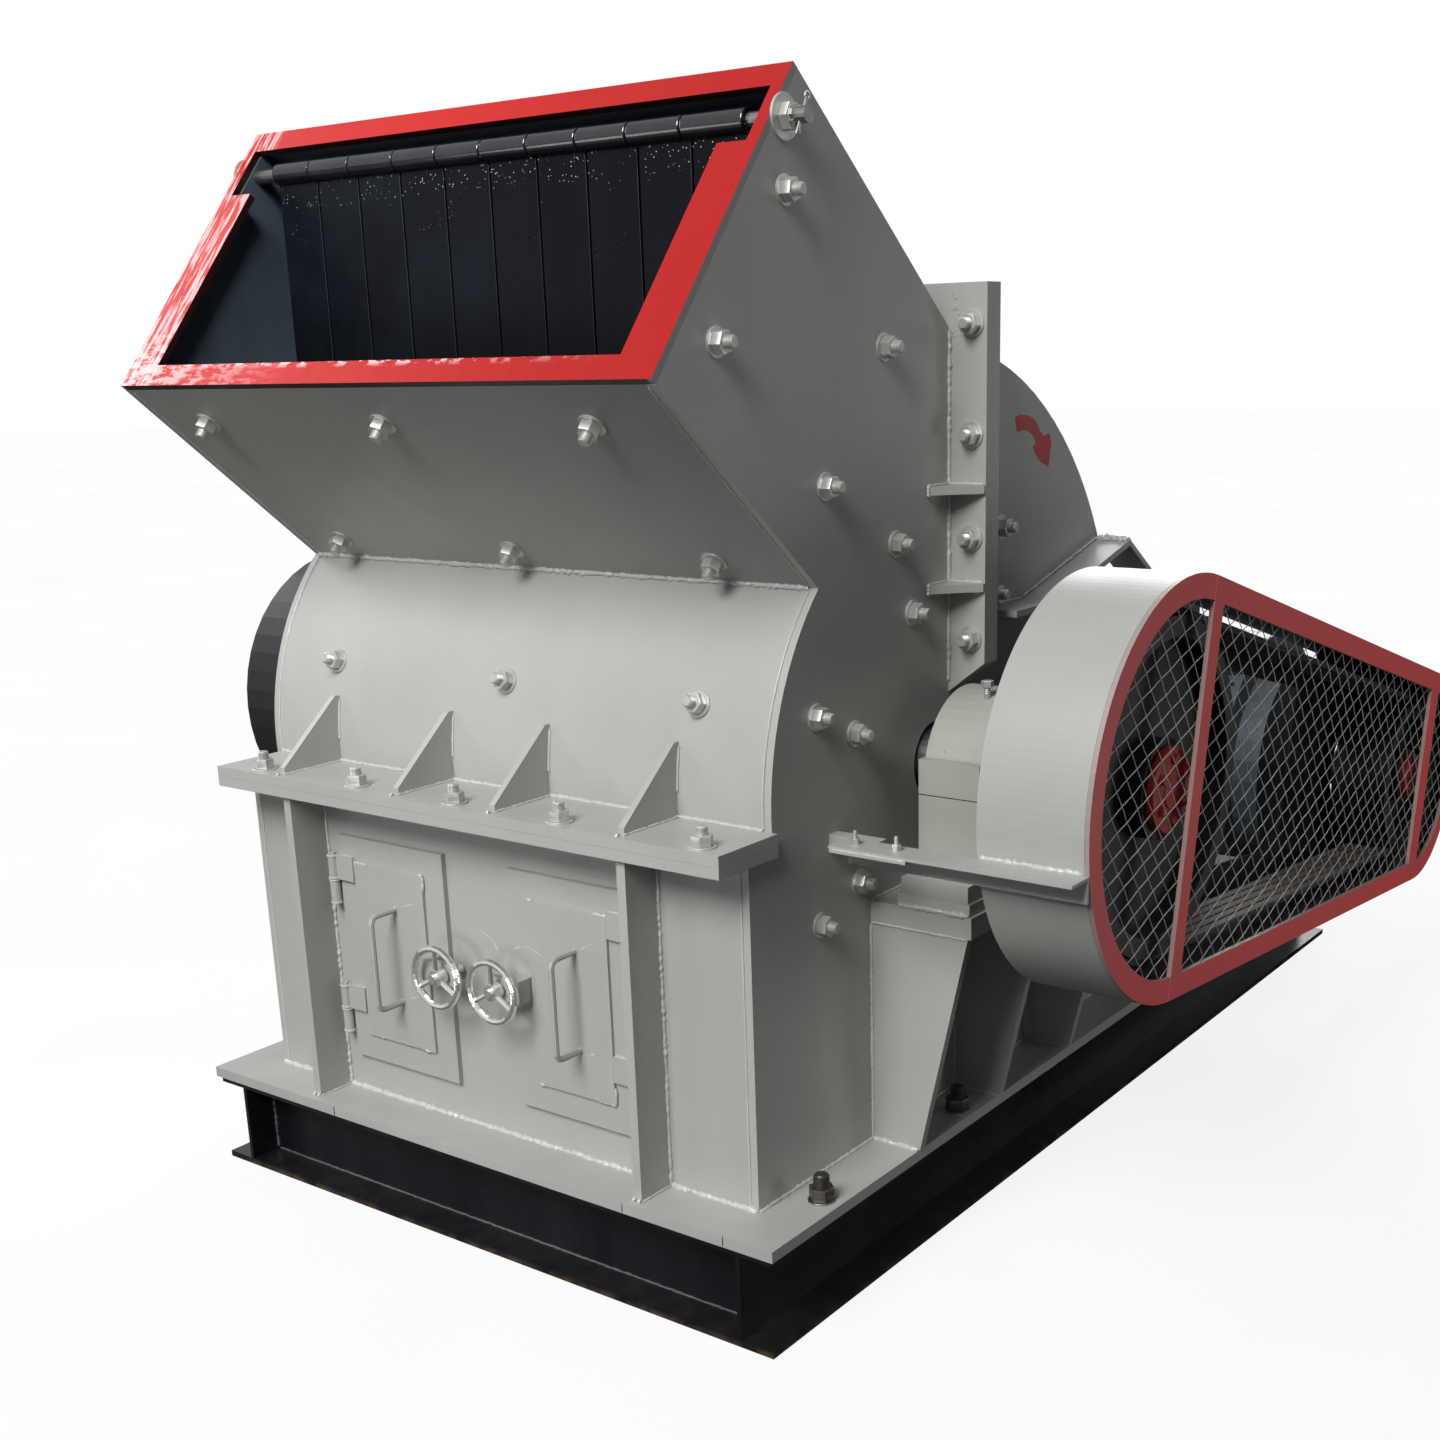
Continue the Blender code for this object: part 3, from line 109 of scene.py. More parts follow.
# The air's colour and strength: what the camera sees, what lights, and what shines in the paint
air = {
    "seen": ((1.0, 1.0, 1.0), 1.0),
    "lit": ((0.93, 0.97, 1.0), 0.08),
    "mirrored": ((0.94, 0.97, 1.0), 0.62),
}


def addLights(lamps):
    for name, (place, size, power, aim, spread) in lamps.items():
        bpy.ops.object.light_add(type="AREA", location=place)
        light = bpy.context.object
        light.name = name + "Light"
        light.data.shape = "DISK"
        light.data.size = size
        light.data.energy = power
        light.data.spread = math.radians(spread)
        light.visible_camera = False
        light.rotation_euler = (Vector(aim) - light.location).to_track_quat("-Z", "Y").to_euler()


def addAir(air):
    world = bpy.data.worlds.new("studioAir")
    bpy.context.scene.world = world
    world.use_nodes = True
    tree = world.node_tree
    tree.nodes.clear()
    path = tree.nodes.new("ShaderNodeLightPath")
    glow = {}
    for name, (colour, strength) in air.items():
        glow[name] = tree.nodes.new("ShaderNodeBackground")
        glow[name].inputs["Color"].default_value = (*colour, 1.0)
        glow[name].inputs["Strength"].default_value = strength

    def choose(ray, other, chosen):
        mix = tree.nodes.new("ShaderNodeMixShader")
        for given, taken in zip((path.outputs[ray], other.outputs[0], chosen.outputs[0]), mix.inputs):
            tree.links.new(given, taken)
        return mix

    shining = choose("Is Glossy Ray", glow["lit"], glow["mirrored"])
    out = tree.nodes.new("ShaderNodeOutputWorld")
    tree.links.new(choose("Is Camera Ray", shining, glow["seen"]).outputs[0], out.inputs[0])


addCamera(view)
addLights(lamps)
addAir(air)
bpy.context.scene.view_settings.view_transform = "Standard"
print("camera and lights set")


# Shader sockets as values: + - * / and ** add Math nodes, blend() mixes colours


def operator(operation, swapped=False):
    def apply(wire, other):
        return wire.math(operation, *((other, wire) if swapped else (wire, other)))

    return apply


class Wire:
    __add__ = __radd__ = operator("ADD")
    __sub__ = operator("SUBTRACT")
    __rsub__ = operator("SUBTRACT", swapped=True)
    __mul__ = operator("MULTIPLY")
    __truediv__ = operator("DIVIDE")
    __pow__ = operator("POWER")

    def __init__(self, finish, socket):
        self.finish = finish
        self.socket = socket

    def __abs__(self):
        return self.math("ABSOLUTE", self)

    def math(self, operation, *values):
        settings = {"operation": operation}
        return self.finish.node("ShaderNodeMath", settings, dict(enumerate(values)))


class Finish:
    def __init__(self, name):
        self.material = bpy.data.materials.new(name)
        self.material.use_nodes = True
        self.tree = self.material.node_tree
        self.tree.nodes.clear()
        self.place = self.node("ShaderNodeTexCoord", output="Object")

    def node(self, kind, settings=None, values=None, output=0):
        made = self.tree.nodes.new(kind)
        for key, value in (settings or {}).items():
            setattr(made, key, value)
        for key, value in (values or {}).items():
            if isinstance(value, Wire):
                self.tree.links.new(value.socket, made.inputs[key])
            else:
                made.inputs[key].default_value = value
        return Wire(self, made.outputs[output])

    def blend(self, factor, a, b):
        return self.node("ShaderNodeMix", {"data_type": "RGBA"}, {0: factor, 6: a, 7: b}, 2)

    def noise(self, scale, detail=3.0, roughness=0.55, stretch=None):
        place = self.place
        if stretch is not None:
            place = self.node("ShaderNodeMapping", None, {"Vector": place, "Scale": stretch})
        values = {"Vector": place, "Scale": scale, "Detail": detail, "Roughness": roughness}
        return self.node("ShaderNodeTexNoise", None, values)

    def patches(self, low, high, *noise):
        # 0 to 1 in soft clouds
        return self.window(self.noise(*noise), low, high)

    def cells(self, scale):
        return self.node("ShaderNodeTexVoronoi", None, {"Vector": self.place, "Scale": scale})

    def facing(self, way, low, high):
        # 1 where the surface looks along a direction, 0 where it looks elsewhere
        surface = self.node("ShaderNodeNewGeometry", output="Normal")
        return self.window(self.along(surface, way), low, high)

    def along(self, vector, way):
        values = {0: vector, 1: tuple(way)}
        return self.node("ShaderNodeVectorMath", {"operation": "DOT_PRODUCT"}, values, 1)

    def at(self, axis):
        # A point's own x, y or z
        return self.along(self.place, [float(letter == axis) for letter in "xyz"])

    def window(self, value, low, high):
        values = {0: value, 1: low, 2: high, 3: 0.0, 4: 1.0}
        return self.node("ShaderNodeMapRange", None, values)

    def bump(self, height, strength, distance):
        values = {"Height": height, "Strength": strength, "Distance": distance}
        return self.node("ShaderNodeBump", None, values)

    def done(self, colour, roughness, metallic, normal, specular=0.5):
        values = {
            "Base Color": colour,
            "Roughness": roughness,
            "Metallic": metallic,
            "Specular IOR Level": specular,
            "Normal": normal,
        }
        return self.surface(self.node("ShaderNodeBsdfPrincipled", None, values))

    def surface(self, shader):
        out = self.tree.nodes.new("ShaderNodeOutputMaterial")
        self.tree.links.new(shader.socket, out.inputs["Surface"])
        return self.material


def tone(red, green, blue):
    return tuple((value / 255.0) ** 2.2 for value in (red, green, blue)) + (1.0,)


def enamel(name, tones, gloss, bumpiness=0.35, layers=(), specular=0.5):
    # Brushed or sprayed enamel: slow cloudiness, fine streaks, orange peel, small dirt specks
    finish = Finish(name)
    colour, worn, dusty = (tone(*shade) for shade in tones)
    cloud = finish.patches(0.32, 0.70, 2.2, 4.0)
    streak = finish.patches(0.35, 0.75, 9.0, 3.0, 0.6, (1.0, 1.0, 0.16))
    speck = finish.window(finish.cells(85.0), 0.055, 0.02)
    speckArea = finish.patches(0.50, 0.66, 3.1, 2.0)
    base = finish.blend(cloud, colour, worn)
    base = finish.blend(streak * 0.22, base, dusty)
    base = finish.blend(speck * speckArea * 0.55, base, dusty)
    for layer in layers:
        base = layer(finish, base)
    rough = gloss + (cloud - 0.5) * 0.10 + streak * 0.07
    peel = finish.noise(240.0, 2.0)
    brush = finish.noise(38.0, 3.0, 0.6, (1.0, 1.0, 0.22))
    normal = finish.bump(peel * 0.3 + brush * 0.7, bumpiness, 0.0009)
    return finish.done(base, rough, 0.0, normal, specular)


doorMarks = {
    # centre x and z, radius, middle of the arc and its half width in degrees
    "arcs": ((-0.009, 0.532, 0.048, 55.0, 62.0), (0.125, 0.498, 0.078, 92.0, 32.0)),
    # middle x and z, half length, half width, turn in degrees
    "strokes": (
        (0.263, 0.604, 0.020, 0.0016, 27.0),
        (-0.170, 0.605, 0.024, 0.0016, 18.0),
        (-0.173, 0.426, 0.018, 0.0014, 26.0),
        (0.262, 0.408, 0.014, 0.0016, 24.0),
        (-0.020, 0.420, 0.030, 0.0010, 2.0),
    ),
    # distances over which an arc's line fades
    "line": (0.0006, 0.0022),
}


def doorScuffs(finish, base):
    # Pale scrapes: arcs that the clamps left, and short strokes beside the handles' feet
    x, z = finish.at("x"), finish.at("z")
    marks = 0.0
    for middleX, middleZ, radius, turn, half in doorMarks["arcs"]:
        awayX, awayZ = x - middleX, z - middleZ
        reach = (awayX * awayX + awayZ * awayZ) ** 0.5
        way = wayRound(turn)
        ahead = awayX * way.y + awayZ * way.z
        inArc = finish.window(ahead / reach, math.cos(math.radians(half)), 1.0)
        line = 1.0 - finish.window(abs(reach - radius), *doorMarks["line"])
        marks = marks + line * inArc ** 0.5
    for middleX, middleZ, length, width, turn in doorMarks["strokes"]:
        awayX, awayZ = x - middleX, z - middleZ
        way = wayRound(turn)
        ahead = awayX * way.y + awayZ * way.z
        across = awayZ * way.y - awayX * way.z
        ends = 1.0 - finish.window(abs(ahead), length * 0.4, length)
        marks = marks + ends * (1.0 - finish.window(abs(across), width * 0.3, width))
    rough = finish.patches(0.35, 0.60, 70.0, 3.0)
    front = finish.facing((0.0, -1.0, 0.0), 0.6, 0.9)
    share = marks.math("MINIMUM", marks, 1.0) * rough * front * 0.75
    return finish.blend(share, base, tone(214, 215, 212))


def paintedUnderShade(finish, base):
    # Painted shade: the chute's underside is darker towards the belt side, in soft clouds
    across = finish.window(finish.at("x"), -0.45, 0.55)
    cloud = finish.patches(0.25, 0.75, 1.7, 3.0)
    return finish.blend(across * (0.75 + cloud * 0.25), base, tone(142, 143, 141))


def rustyFeet(finish, base):
    # A thin brown wash on the beams' lowest edges
    low = 1.0 - finish.window(finish.at("z"), 0.004, 0.013)
    patch = finish.patches(0.40, 0.62, 24.0, 4.0)
    return finish.blend(low * patch * 0.8, base, tone(92, 74, 58))


def paintedSheen(finish, base):
    # Painted sheen: a bluish grey painted reflection in soft clouds, stronger to the left
    left = 1.0 - finish.window(finish.at("x"), -0.45, 0.25) * 0.7
    cloud = finish.patches(0.42, 0.78, 3.4, 5.0, 0.62)
    return finish.blend(cloud * left * 0.6, base, tone(34, 40, 50))


def spatter(finish, base):
    # White specks of weld spatter under the curtain's sleeves
    height = finish.at("z")
    close = finish.window(height, 1.800, 1.852)
    near = finish.window(height, 1.68, 1.83) * 0.45 + close * 0.55
    dots = finish.window(finish.cells(150.0), 0.16, 0.10)
    patch = finish.window(finish.noise(16.0, 2.0), 0.60, 0.66 - close * 0.16)
    return finish.blend(dots * patch * near, base, tone(214, 220, 224))


def frameEdges(finish, base):
    # The frame is red on its front only: grey outside, nearly black inside
    front = finish.facing(mouthFront, 0.5, 0.7)
    outside = finish.window(abs(finish.at("x")), 0.590, 0.597)
    edge = finish.blend(outside, tone(40, 20, 22), tone(150, 150, 147))
    return finish.blend(front, edge, base)


def paintedFrameGlare(finish, base):
    # Painted glare: pinkish white streaks of painted reflection on the rough red paint, along the left
    # strip, and shorter ones on the bottom strip's left end
    across = finish.at("x")
    up = finish.along(finish.place, mouthUp) - mouthFoot.dot(mouthUp)
    leftStrip = 1.0 - finish.window(across, -0.530, -0.515)
    leftEnd = 1.0 - finish.window(across, -0.560, -0.180)
    bottom = 1.0 - finish.window(up, 0.050, 0.130)
    long = finish.patches(0.47, 0.56, 120.0, 4.0, 0.6, (1.0, 0.10, 0.10))
    short = finish.patches(0.46, 0.56, 95.0, 4.0, 0.65, (0.35, 1.0, 1.0))
    paintedGlare = leftStrip * long * 0.75 + leftEnd * bottom * short * 0.85
    # A broken pale line along the bottom strip's inner edge
    inner = finish.window(up, 0.030, 0.040) * (1.0 - finish.window(up, 0.043, 0.048))
    innerEdgeLine = inner * finish.patches(0.52, 0.58, 70.0, 3.0, 0.6, (0.5, 1.0, 1.0))
    # The painted glare and the pale inner edge line, which fades out towards the right
    worn = paintedGlare.math("MAXIMUM", paintedGlare, innerEdgeLine * (1.0 - finish.window(across, 0.1, 0.5)))
    return finish.blend(worn.math("MINIMUM", worn, 1.0) * 0.85, base, tone(238, 196, 196))


def ringEdges(finish, base):
    # The ring is red on its face only
    face = finish.facing((1.0, 0.0, 0.0), 0.5, 0.7)
    return finish.blend(face, tone(158, 146, 142), base)


def ringSeam(finish, base):
    # A pale weld seam across the ring, in line with the first bar's edge
    way = wayRound(math.degrees(beltSlope))
    off = finish.along(finish.place, way) - (rotorAxis.dot(way) + 0.0224)
    line = 1.0 - finish.window(abs(off), 0.0006, 0.0020)
    patch = finish.patches(0.34, 0.50, 60.0, 3.0)
    return finish.blend(line * patch * 0.85, base, tone(236, 170, 160))


def dustUp(finish, base):
    # Stone dust on what faces up
    up = finish.facing((0.0, 0.0, 1.0), 0.4, 0.95)
    patch = finish.patches(0.25, 0.60, 11.0, 4.0)
    return finish.blend(up * (0.35 + patch * 0.55), base, tone(138, 130, 120))


def bareMetal(name, colour, stained, rough, metallic=1.0):
    finish = Finish(name)
    stain = finish.patches(0.42, 0.72, 26.0, 5.0, 0.62)
    base = finish.blend(stain * 0.7, tone(*colour), tone(*stained))
    normal = finish.bump(finish.noise(320.0, 2.0), 0.18, 0.0004)
    return finish.done(base, rough + stain * 0.14, metallic, normal)


def makeRubber():
    # Dusty where it faces up, as on the inside of the lower run
    finish = Finish("beltRubber")
    dust = finish.patches(0.30, 0.75, 14.0, 4.0)
    up = finish.facing((0.0, 0.0, 1.0), 0.3, 0.9)
    base = finish.blend(dust * 0.5, tone(24, 24, 25), tone(52, 51, 50))
    base = finish.blend(up * (0.35 + dust * 0.5), base, tone(150, 138, 126))
    normal = finish.bump(finish.noise(180.0), 0.3, 0.0006)
    return finish.done(base, 0.62 + dust * 0.15, 0.0, normal)


# Each enamel has three tones: the paint, the worn paint and the dust on it

greys = ((176, 177, 172), (168, 169, 165), (150, 150, 146))
doorGreys = ((172, 173, 168), (163, 164, 160), (147, 147, 143))
castGreys = ((170, 170, 162), (158, 158, 150), (134, 134, 128))
# Welds lie under the same grey paint: their lighter tones are partly a painted highlight for the glints
# on the beads' lumps
weldGlintGreys = ((200, 201, 197), (184, 185, 181), (150, 150, 146))
# The liner is glossy black paint: these blue-grey tones are a painted sheen of reflected sky
linerSheenGreys = ((78, 87, 98), (62, 70, 80), (112, 120, 130))
motorGreys = ((76, 84, 92), (68, 76, 84), (58, 63, 69))
blackWelds = ((96, 98, 100), (52, 54, 58), (140, 140, 138))
blacks = ((26, 28, 32), (20, 21, 24), (52, 54, 58))
beamBlacks = ((26, 28, 32), (19, 20, 23), (50, 52, 56))
flapBlacks = ((14, 16, 20), (10, 11, 14), (28, 32, 39))
sleeveBlacks = ((30, 32, 36), (22, 23, 26), (52, 54, 58))
castBlacks = ((20, 21, 23), (15, 15, 17), (40, 40, 42))
frameReds = ((176, 24, 22), (166, 22, 22), (146, 30, 30))
ringReds = ((236, 92, 90), (224, 84, 84), (190, 80, 80))
hubReds = ((170, 44, 46), (150, 40, 44), (120, 44, 46))
arrowReds = ((196, 62, 62), (182, 58, 60), (150, 60, 60))
pinks = ((206, 176, 170), (190, 150, 146), (170, 110, 108))

greyPaint = enamel("greyPaint", greys, 0.40)
doorPaint = enamel("doorPaint", doorGreys, 0.40, layers=(doorScuffs,))
# Grey paint with painted shade on the chute's underside
underPaint = enamel("underPaint", greys, 0.46, layers=(paintedUnderShade,))
blackPaint = enamel("blackPaint", blacks, 0.26, 0.25)
beamPaint = enamel("beamPaint", beamBlacks, 0.26, 0.25, (rustyFeet,))
flapPaint = enamel("flapPaint", flapBlacks, 0.40, 0.5, (paintedSheen, spatter), 0.14)
# Liner: black paint with its painted sheen in the colour
linerSheenPaint = enamel("linerSheenPaint", linerSheenGreys, 0.34, 1.0)
redPaint = enamel("redPaint", frameReds, 0.34, 0.7, (paintedFrameGlare, frameEdges), 0.3)
guardRed = enamel("guardRed", ringReds, 0.44, layers=(ringSeam, ringEdges))
castingPaint = enamel("castingPaint", castGreys, 0.48, 0.8)
motorEnamel = enamel("motorEnamel", motorGreys, 0.44)
blackCasting = enamel("blackCasting", castBlacks, 0.46, 0.8)
# Weld paint: lighter than the grey paint, partly a painted highlight
weldPaint = enamel("weldPaint", weldGlintGreys, 0.20, 0.6)
blackWeld = enamel("blackWeld", blackWelds, 0.22, 0.6)
hubRed = enamel("hubRed", hubReds, 0.42, 0.5)
arrowRed = enamel("arrowRed", arrowReds, 0.40, 0.5)
sleeveBlack = enamel("sleeveBlack", sleeveBlacks, 0.16, 0.3, specular=1.0)
liningPaint = enamel("liningPaint", blacks, 0.40, 0.3, (dustUp,))
barePale = enamel("barePale", pinks, 0.46, 0.8)
rubber = makeRubber()
zincPlate = bareMetal("zincPlate", (204, 204, 199), (158, 155, 148), 0.34, 0.55)
darkSteel = bareMetal("darkSteel", (96, 92, 90), (56, 52, 50), 0.34, 0.8)
chromePlate = bareMetal("chromePlate", (240, 239, 236), (214, 211, 206), 0.12, 0.85)
machinedSteel = bareMetal("machinedSteel", (150, 150, 150), (110, 104, 98), 0.34)
wireZinc = bareMetal("wireZinc", (196, 196, 191), (150, 147, 140), 0.42, 0.25)
# Thin strips that stand in as painted highlights along the flaps' edges
flapEdgeHighlight = bareMetal("flapEdgeHighlight", (84, 88, 94), (30, 32, 36), 0.36)

# A CAD piece takes the last look whose name it starts with, and grey paint without one
nodeLooks = {
    "motor": motorEnamel,
    "guard_back": blackPaint,
    "base_beam": beamPaint,
    "chute_liner": linerSheenPaint,
    "flap_curtain": flapPaint,
    "motor_rails": blackPaint,
    "door": doorPaint,
    "chute_floor": underPaint,
    "lower_front_wall": doorPaint,
    "mouth_frame": redPaint,
    "guard_ring": guardRed,
    "bearing": castingPaint,
    "hand_wheel": chromePlate,
    "curtain_rod": machinedSteel,
    "rotor": machinedSteel,
    "flywheel": blackCasting,
    "crusher_pulley": blackCasting,
    "motor_pulley": blackCasting,
    "belt_loop": rubber,
    "guard_mesh": wireZinc,
}
for name, node in nodes.items():
    looks = [look for start, look in nodeLooks.items() if name.startswith(start)]
    for slot in node.material_slots:
        slot.material = (looks or [greyPaint])[-1]
print("finishes made")


# Modelling helpers


def startPiece():
    if bpy.context.object and bpy.context.object.mode == "EDIT":
        bpy.ops.object.mode_set(mode="OBJECT")
    bpy.ops.object.select_all(action="DESELECT")


def editPiece(piece):
    startPiece()
    piece.select_set(True)
    bpy.context.view_layer.objects.active = piece
    bpy.ops.object.mode_set(mode="EDIT")


def pickParts(kind, group, test):
    bpy.ops.mesh.select_mode(type=kind)
    bpy.ops.mesh.select_all(action="DESELECT")
    shape = bmesh.from_edit_mesh(bpy.context.object.data)
    for part in getattr(shape, group):
        part.select_set(bool(test(part)))
    bmesh.update_edit_mesh(bpy.context.object.data)


def pickFaces(test):
    pickParts("FACE", "faces", lambda face: test(face.calc_center_median(), face.normal))


def pickEdges(test):
    pickParts("EDGE", "edges", lambda edge: test(*(corner.co for corner in edge.verts)))


def settle(piece):
    # Moves a piece's place into its mesh, so that its origin is the shared one
    piece.data.transform(piece.matrix_basis)
    piece.matrix_basis = Matrix.Identity(4)
    return piece


def donePiece(angle=30.0):
    bpy.ops.object.mode_set(mode="OBJECT")
    piece = settle(bpy.context.object)
    bpy.ops.object.shade_smooth_by_angle(angle=math.radians(angle))
    return piece


def addBlock(low, high, bevel=0.001, segments=1):
    # A plate or bar with all its edges broken
    startPiece()
    low, high = Vector(low), Vector(high)
    bpy.ops.mesh.primitive_cube_add(size=1.0, location=(low + high) / 2, scale=high - low)
    editPiece(settle(bpy.context.object))
    bpy.ops.mesh.select_all(action="SELECT")
    bpy.ops.mesh.bevel(offset=bevel, segments=segments)
    return donePiece(35)


def addCylinder(corners, radius, depth, middle, axis=(0, 0, 1)):
    # A plain cylinder about its middle, open for editing
    startPiece()
    bpy.ops.mesh.primitive_cylinder_add(
        vertices=corners,
        radius=radius,
        depth=depth,
        location=middle,
        rotation=Vector((0, 0, 1)).rotation_difference(Vector(axis)).to_euler(),
    )
    editPiece(settle(bpy.context.object))


def addDisc(start, axis, radius, depth, corners=32, bevel=0.002, segments=2):
    # A turned disc that goes from its start along its axis, with both rims rounded
    axis = Vector(axis)
    addCylinder(corners, radius, depth, Vector(start) + axis * depth / 2, axis)
    pickEdges(lambda a, b: abs((a - b).dot(axis)) < 1e-6)
    bpy.ops.mesh.bevel(offset=bevel, segments=segments)
    return donePiece(20)


def addCurve(runs, closed):
    # One curve with a straight-sided spline for each run of (place, radius) points
    startPiece()
    bpy.ops.curve.primitive_bezier_curve_add()
    curve = bpy.context.object.data
    curve.splines.clear()
    curve.dimensions = "3D"
    for run in runs:
        spline = curve.splines.new("POLY")
        spline.points.add(len(run) - 1)
        spline.use_cyclic_u = closed
        for point, (place, radius) in zip(spline.points, run):
            point.co = (*place, 1.0)
            point.radius = radius
    return bpy.context.object


def addTubes(runs, corners=8, closed=False):
    # A round tube along each run, all in one mesh
    piece = addCurve(runs, closed)
    piece.data.bevel_depth = 1.0
    piece.data.bevel_resolution = (corners - 4) // 2
    piece.data.use_fill_caps = True
    bpy.ops.object.convert(target="MESH")
    piece = settle(bpy.context.object)
    bpy.ops.object.shade_smooth()
    return piece


def addOutline(outline, x):
    # A closed outline of (y, z) points as edges at one x, left open for editing
    addCurve([[((x, y, z), 1.0) for y, z in outline]], True)
    bpy.ops.object.convert(target="MESH")
    editPiece(settle(bpy.context.object))
    bpy.ops.mesh.select_all(action="SELECT")


def pullAside(distance):
    # Pulls the picked edges or face along x and closes the edit
    bpy.ops.mesh.extrude_region_move(TRANSFORM_OT_translate={"value": (distance, 0, 0)})
    bpy.ops.mesh.select_all(action="SELECT")
    bpy.ops.mesh.normals_make_consistent(inside=False)
    return donePiece(40)


def addBand(outline, low, high, plate, bevel=0.0):
    # A closed strip along an outline, as thick as its plate on the inner side
    addOutline(outline, low)
    band = pullAside(high - low)
    thick = band.modifiers.new("plate", "SOLIDIFY")
    thick.thickness = plate
    thick.offset = -1.0
    bpy.ops.object.modifier_apply(modifier=thick.name)
    if bevel:
        broken = band.modifiers.new("edges", "BEVEL")
        broken.width = bevel
        broken.segments = 2
        broken.limit_method = "ANGLE"
        broken.angle_limit = math.radians(50)
        bpy.ops.object.modifier_apply(modifier=broken.name)
    return band


def addSheet(outline, x, plate):
    # A flat shape of (y, z) points, standing out by its plate
    addOutline(outline, x)
    bpy.ops.mesh.edge_face_add()
    return pullAside(plate)


def joinPieces(pieces):
    startPiece()
    for piece in pieces:
        piece.select_set(True)
    bpy.context.view_layer.objects.active = pieces[0]
    if len(pieces) > 1:
        bpy.ops.object.join()
    return pieces[0]


def setPiece(piece, name, body, look=None):
    piece.name = name
    piece.data.name = name
    if look is not None:
        piece.data.materials.clear()
        piece.data.materials.append(look)
    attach(piece, body)
    return piece


def cloneAt(model, matrix):
    # A copy with its own mesh, moved there
    piece = model.copy()
    piece.data = model.data.copy()
    bpy.context.collection.objects.link(piece)
    piece.data.transform(matrix)
    return piece


def copyTo(model, places, name, body="machine"):
    # One copy of the model at each (place, direction, turn), and all of them one piece
    made = []
    for place, direction, turn in places:
        lean = Vector((0, 0, 1)).rotation_difference(Vector(direction)).to_matrix().to_4x4()
        spin = Matrix.Rotation(math.radians(turn), 4, "Z")
        made.append(cloneAt(model, Matrix.Translation(Vector(place)) @ lean @ spin))
    return setPiece(joinPieces(made), name, body)


# Fasteners: each stands on the face at z = 0 and points up

wallStud = {
    "flats": 0.031,
    "nut": 0.0170,
    "washer": (0.0225, 0.0034),
    "stud": 0.0100,
    "standOut": 0.014,
    "threads": 5,
    "corners": 20,
    "looks": (zincPlate, zincPlate, zincPlate),
}
anchorStud = {
    "flats": 0.038,
    "nut": 0.0230,
    "washer": (0.0240, 0.0030),
    "stud": 0.0140,
    "standOut": 0.022,
    "threads": 6,
    "corners": 20,
    "looks": (darkSteel, machinedSteel, darkSteel),
}
thinStud = {
    "flats": 0.014,
    "nut": 0.0085,
    "washer": (0.0095, 0.0015),
    "stud": 0.0038,
    "standOut": 0.013,
    "threads": 5,
    "corners": 12,
    "looks": (zincPlate, zincPlate, zincPlate),
}


def addWasher(radius, thickness):
    addCylinder(28, radius, thickness, (0, 0, thickness / 2))
    pickEdges(lambda a, b: min(a.z, b.z) > thickness / 2)
    bpy.ops.mesh.bevel(offset=thickness * 0.22, segments=1)
    return donePiece()


def addNut(flats, height, base):
    addCylinder(6, flats / math.sqrt(3), height, (0, 0, base + height / 2))
    pickFaces(lambda centre, normal: abs(normal.z) > 0.9)
    bpy.ops.mesh.inset(thickness=flats * 0.055, use_individual=True)
    pickEdges(lambda a, b: abs((a - b).z) < 1e-6 and min(a.xy.length, b.xy.length) > flats * 0.56)
    bpy.ops.mesh.bevel(offset=flats * 0.035, segments=2)
    return donePiece(24)


def pullUp(distance, scale):
    bpy.ops.mesh.extrude_region_move(TRANSFORM_OT_translate={"value": (0, 0, distance)})
    bpy.ops.transform.resize(value=(scale, scale, 1.0))


def addStud(radius, low, high, threads, corners):
    # A threaded end: one ring of faces pulled out and drawn in again for each turn
    root = 0.90
    addCylinder(corners, radius * root, low, (0, 0, low / 2))
    pickFaces(lambda centre, normal: normal.z > 0.9)
    pitch = (high - low) / (threads + 0.5)
    for index in range(threads):
        for scale in (1.0 / root, 1.0, root, 1.0):
            pullUp(pitch * 0.25, scale)
    pullUp(pitch * 0.5, 0.86)
    return donePiece(40)


def addStudAndNut(f):
    washer = addWasher(*f["washer"])
    nut = addNut(f["flats"], f["nut"], f["washer"][1])
    top = f["washer"][1] + f["nut"]
    stud = addStud(f["stud"], top - 0.001, top + f["standOut"], f["threads"], f["corners"])
    for part, look in zip((nut, washer, stud), f["looks"]):
        part.data.materials.append(look)
    return joinPieces([nut, washer, stud])


def addHexBolt(flats, head, washer, look):
    disc = addWasher(flats * 0.72, washer)
    top = addNut(flats, head, washer)
    model = joinPieces([top, disc])
    model.data.materials.clear()
    model.data.materials.append(look)
    return model


studAndNut = addStudAndNut(wallStud)
anchorNut = addStudAndNut(anchorStud)
thinNut = addStudAndNut(thinStud)
hexBolt = addHexBolt(0.030, 0.013, 0.003, zincPlate)
smallBolt = addHexBolt(0.017, 0.0075, 0.002, zincPlate)
redBolt = addHexBolt(0.016, 0.0065, 0.0015, hubRed)
darkBolt = addHexBolt(0.036, 0.018, 0.004, blackCasting)
paintedBolt = addHexBolt(0.024, 0.011, 0.003, castingPaint)
chance = random.Random(7)


def spot(place, way=(0, 0, 1)):
    # Where a fastener stands, the way it points, and a chance turn
    return (place, way, chance.uniform(0, 60))


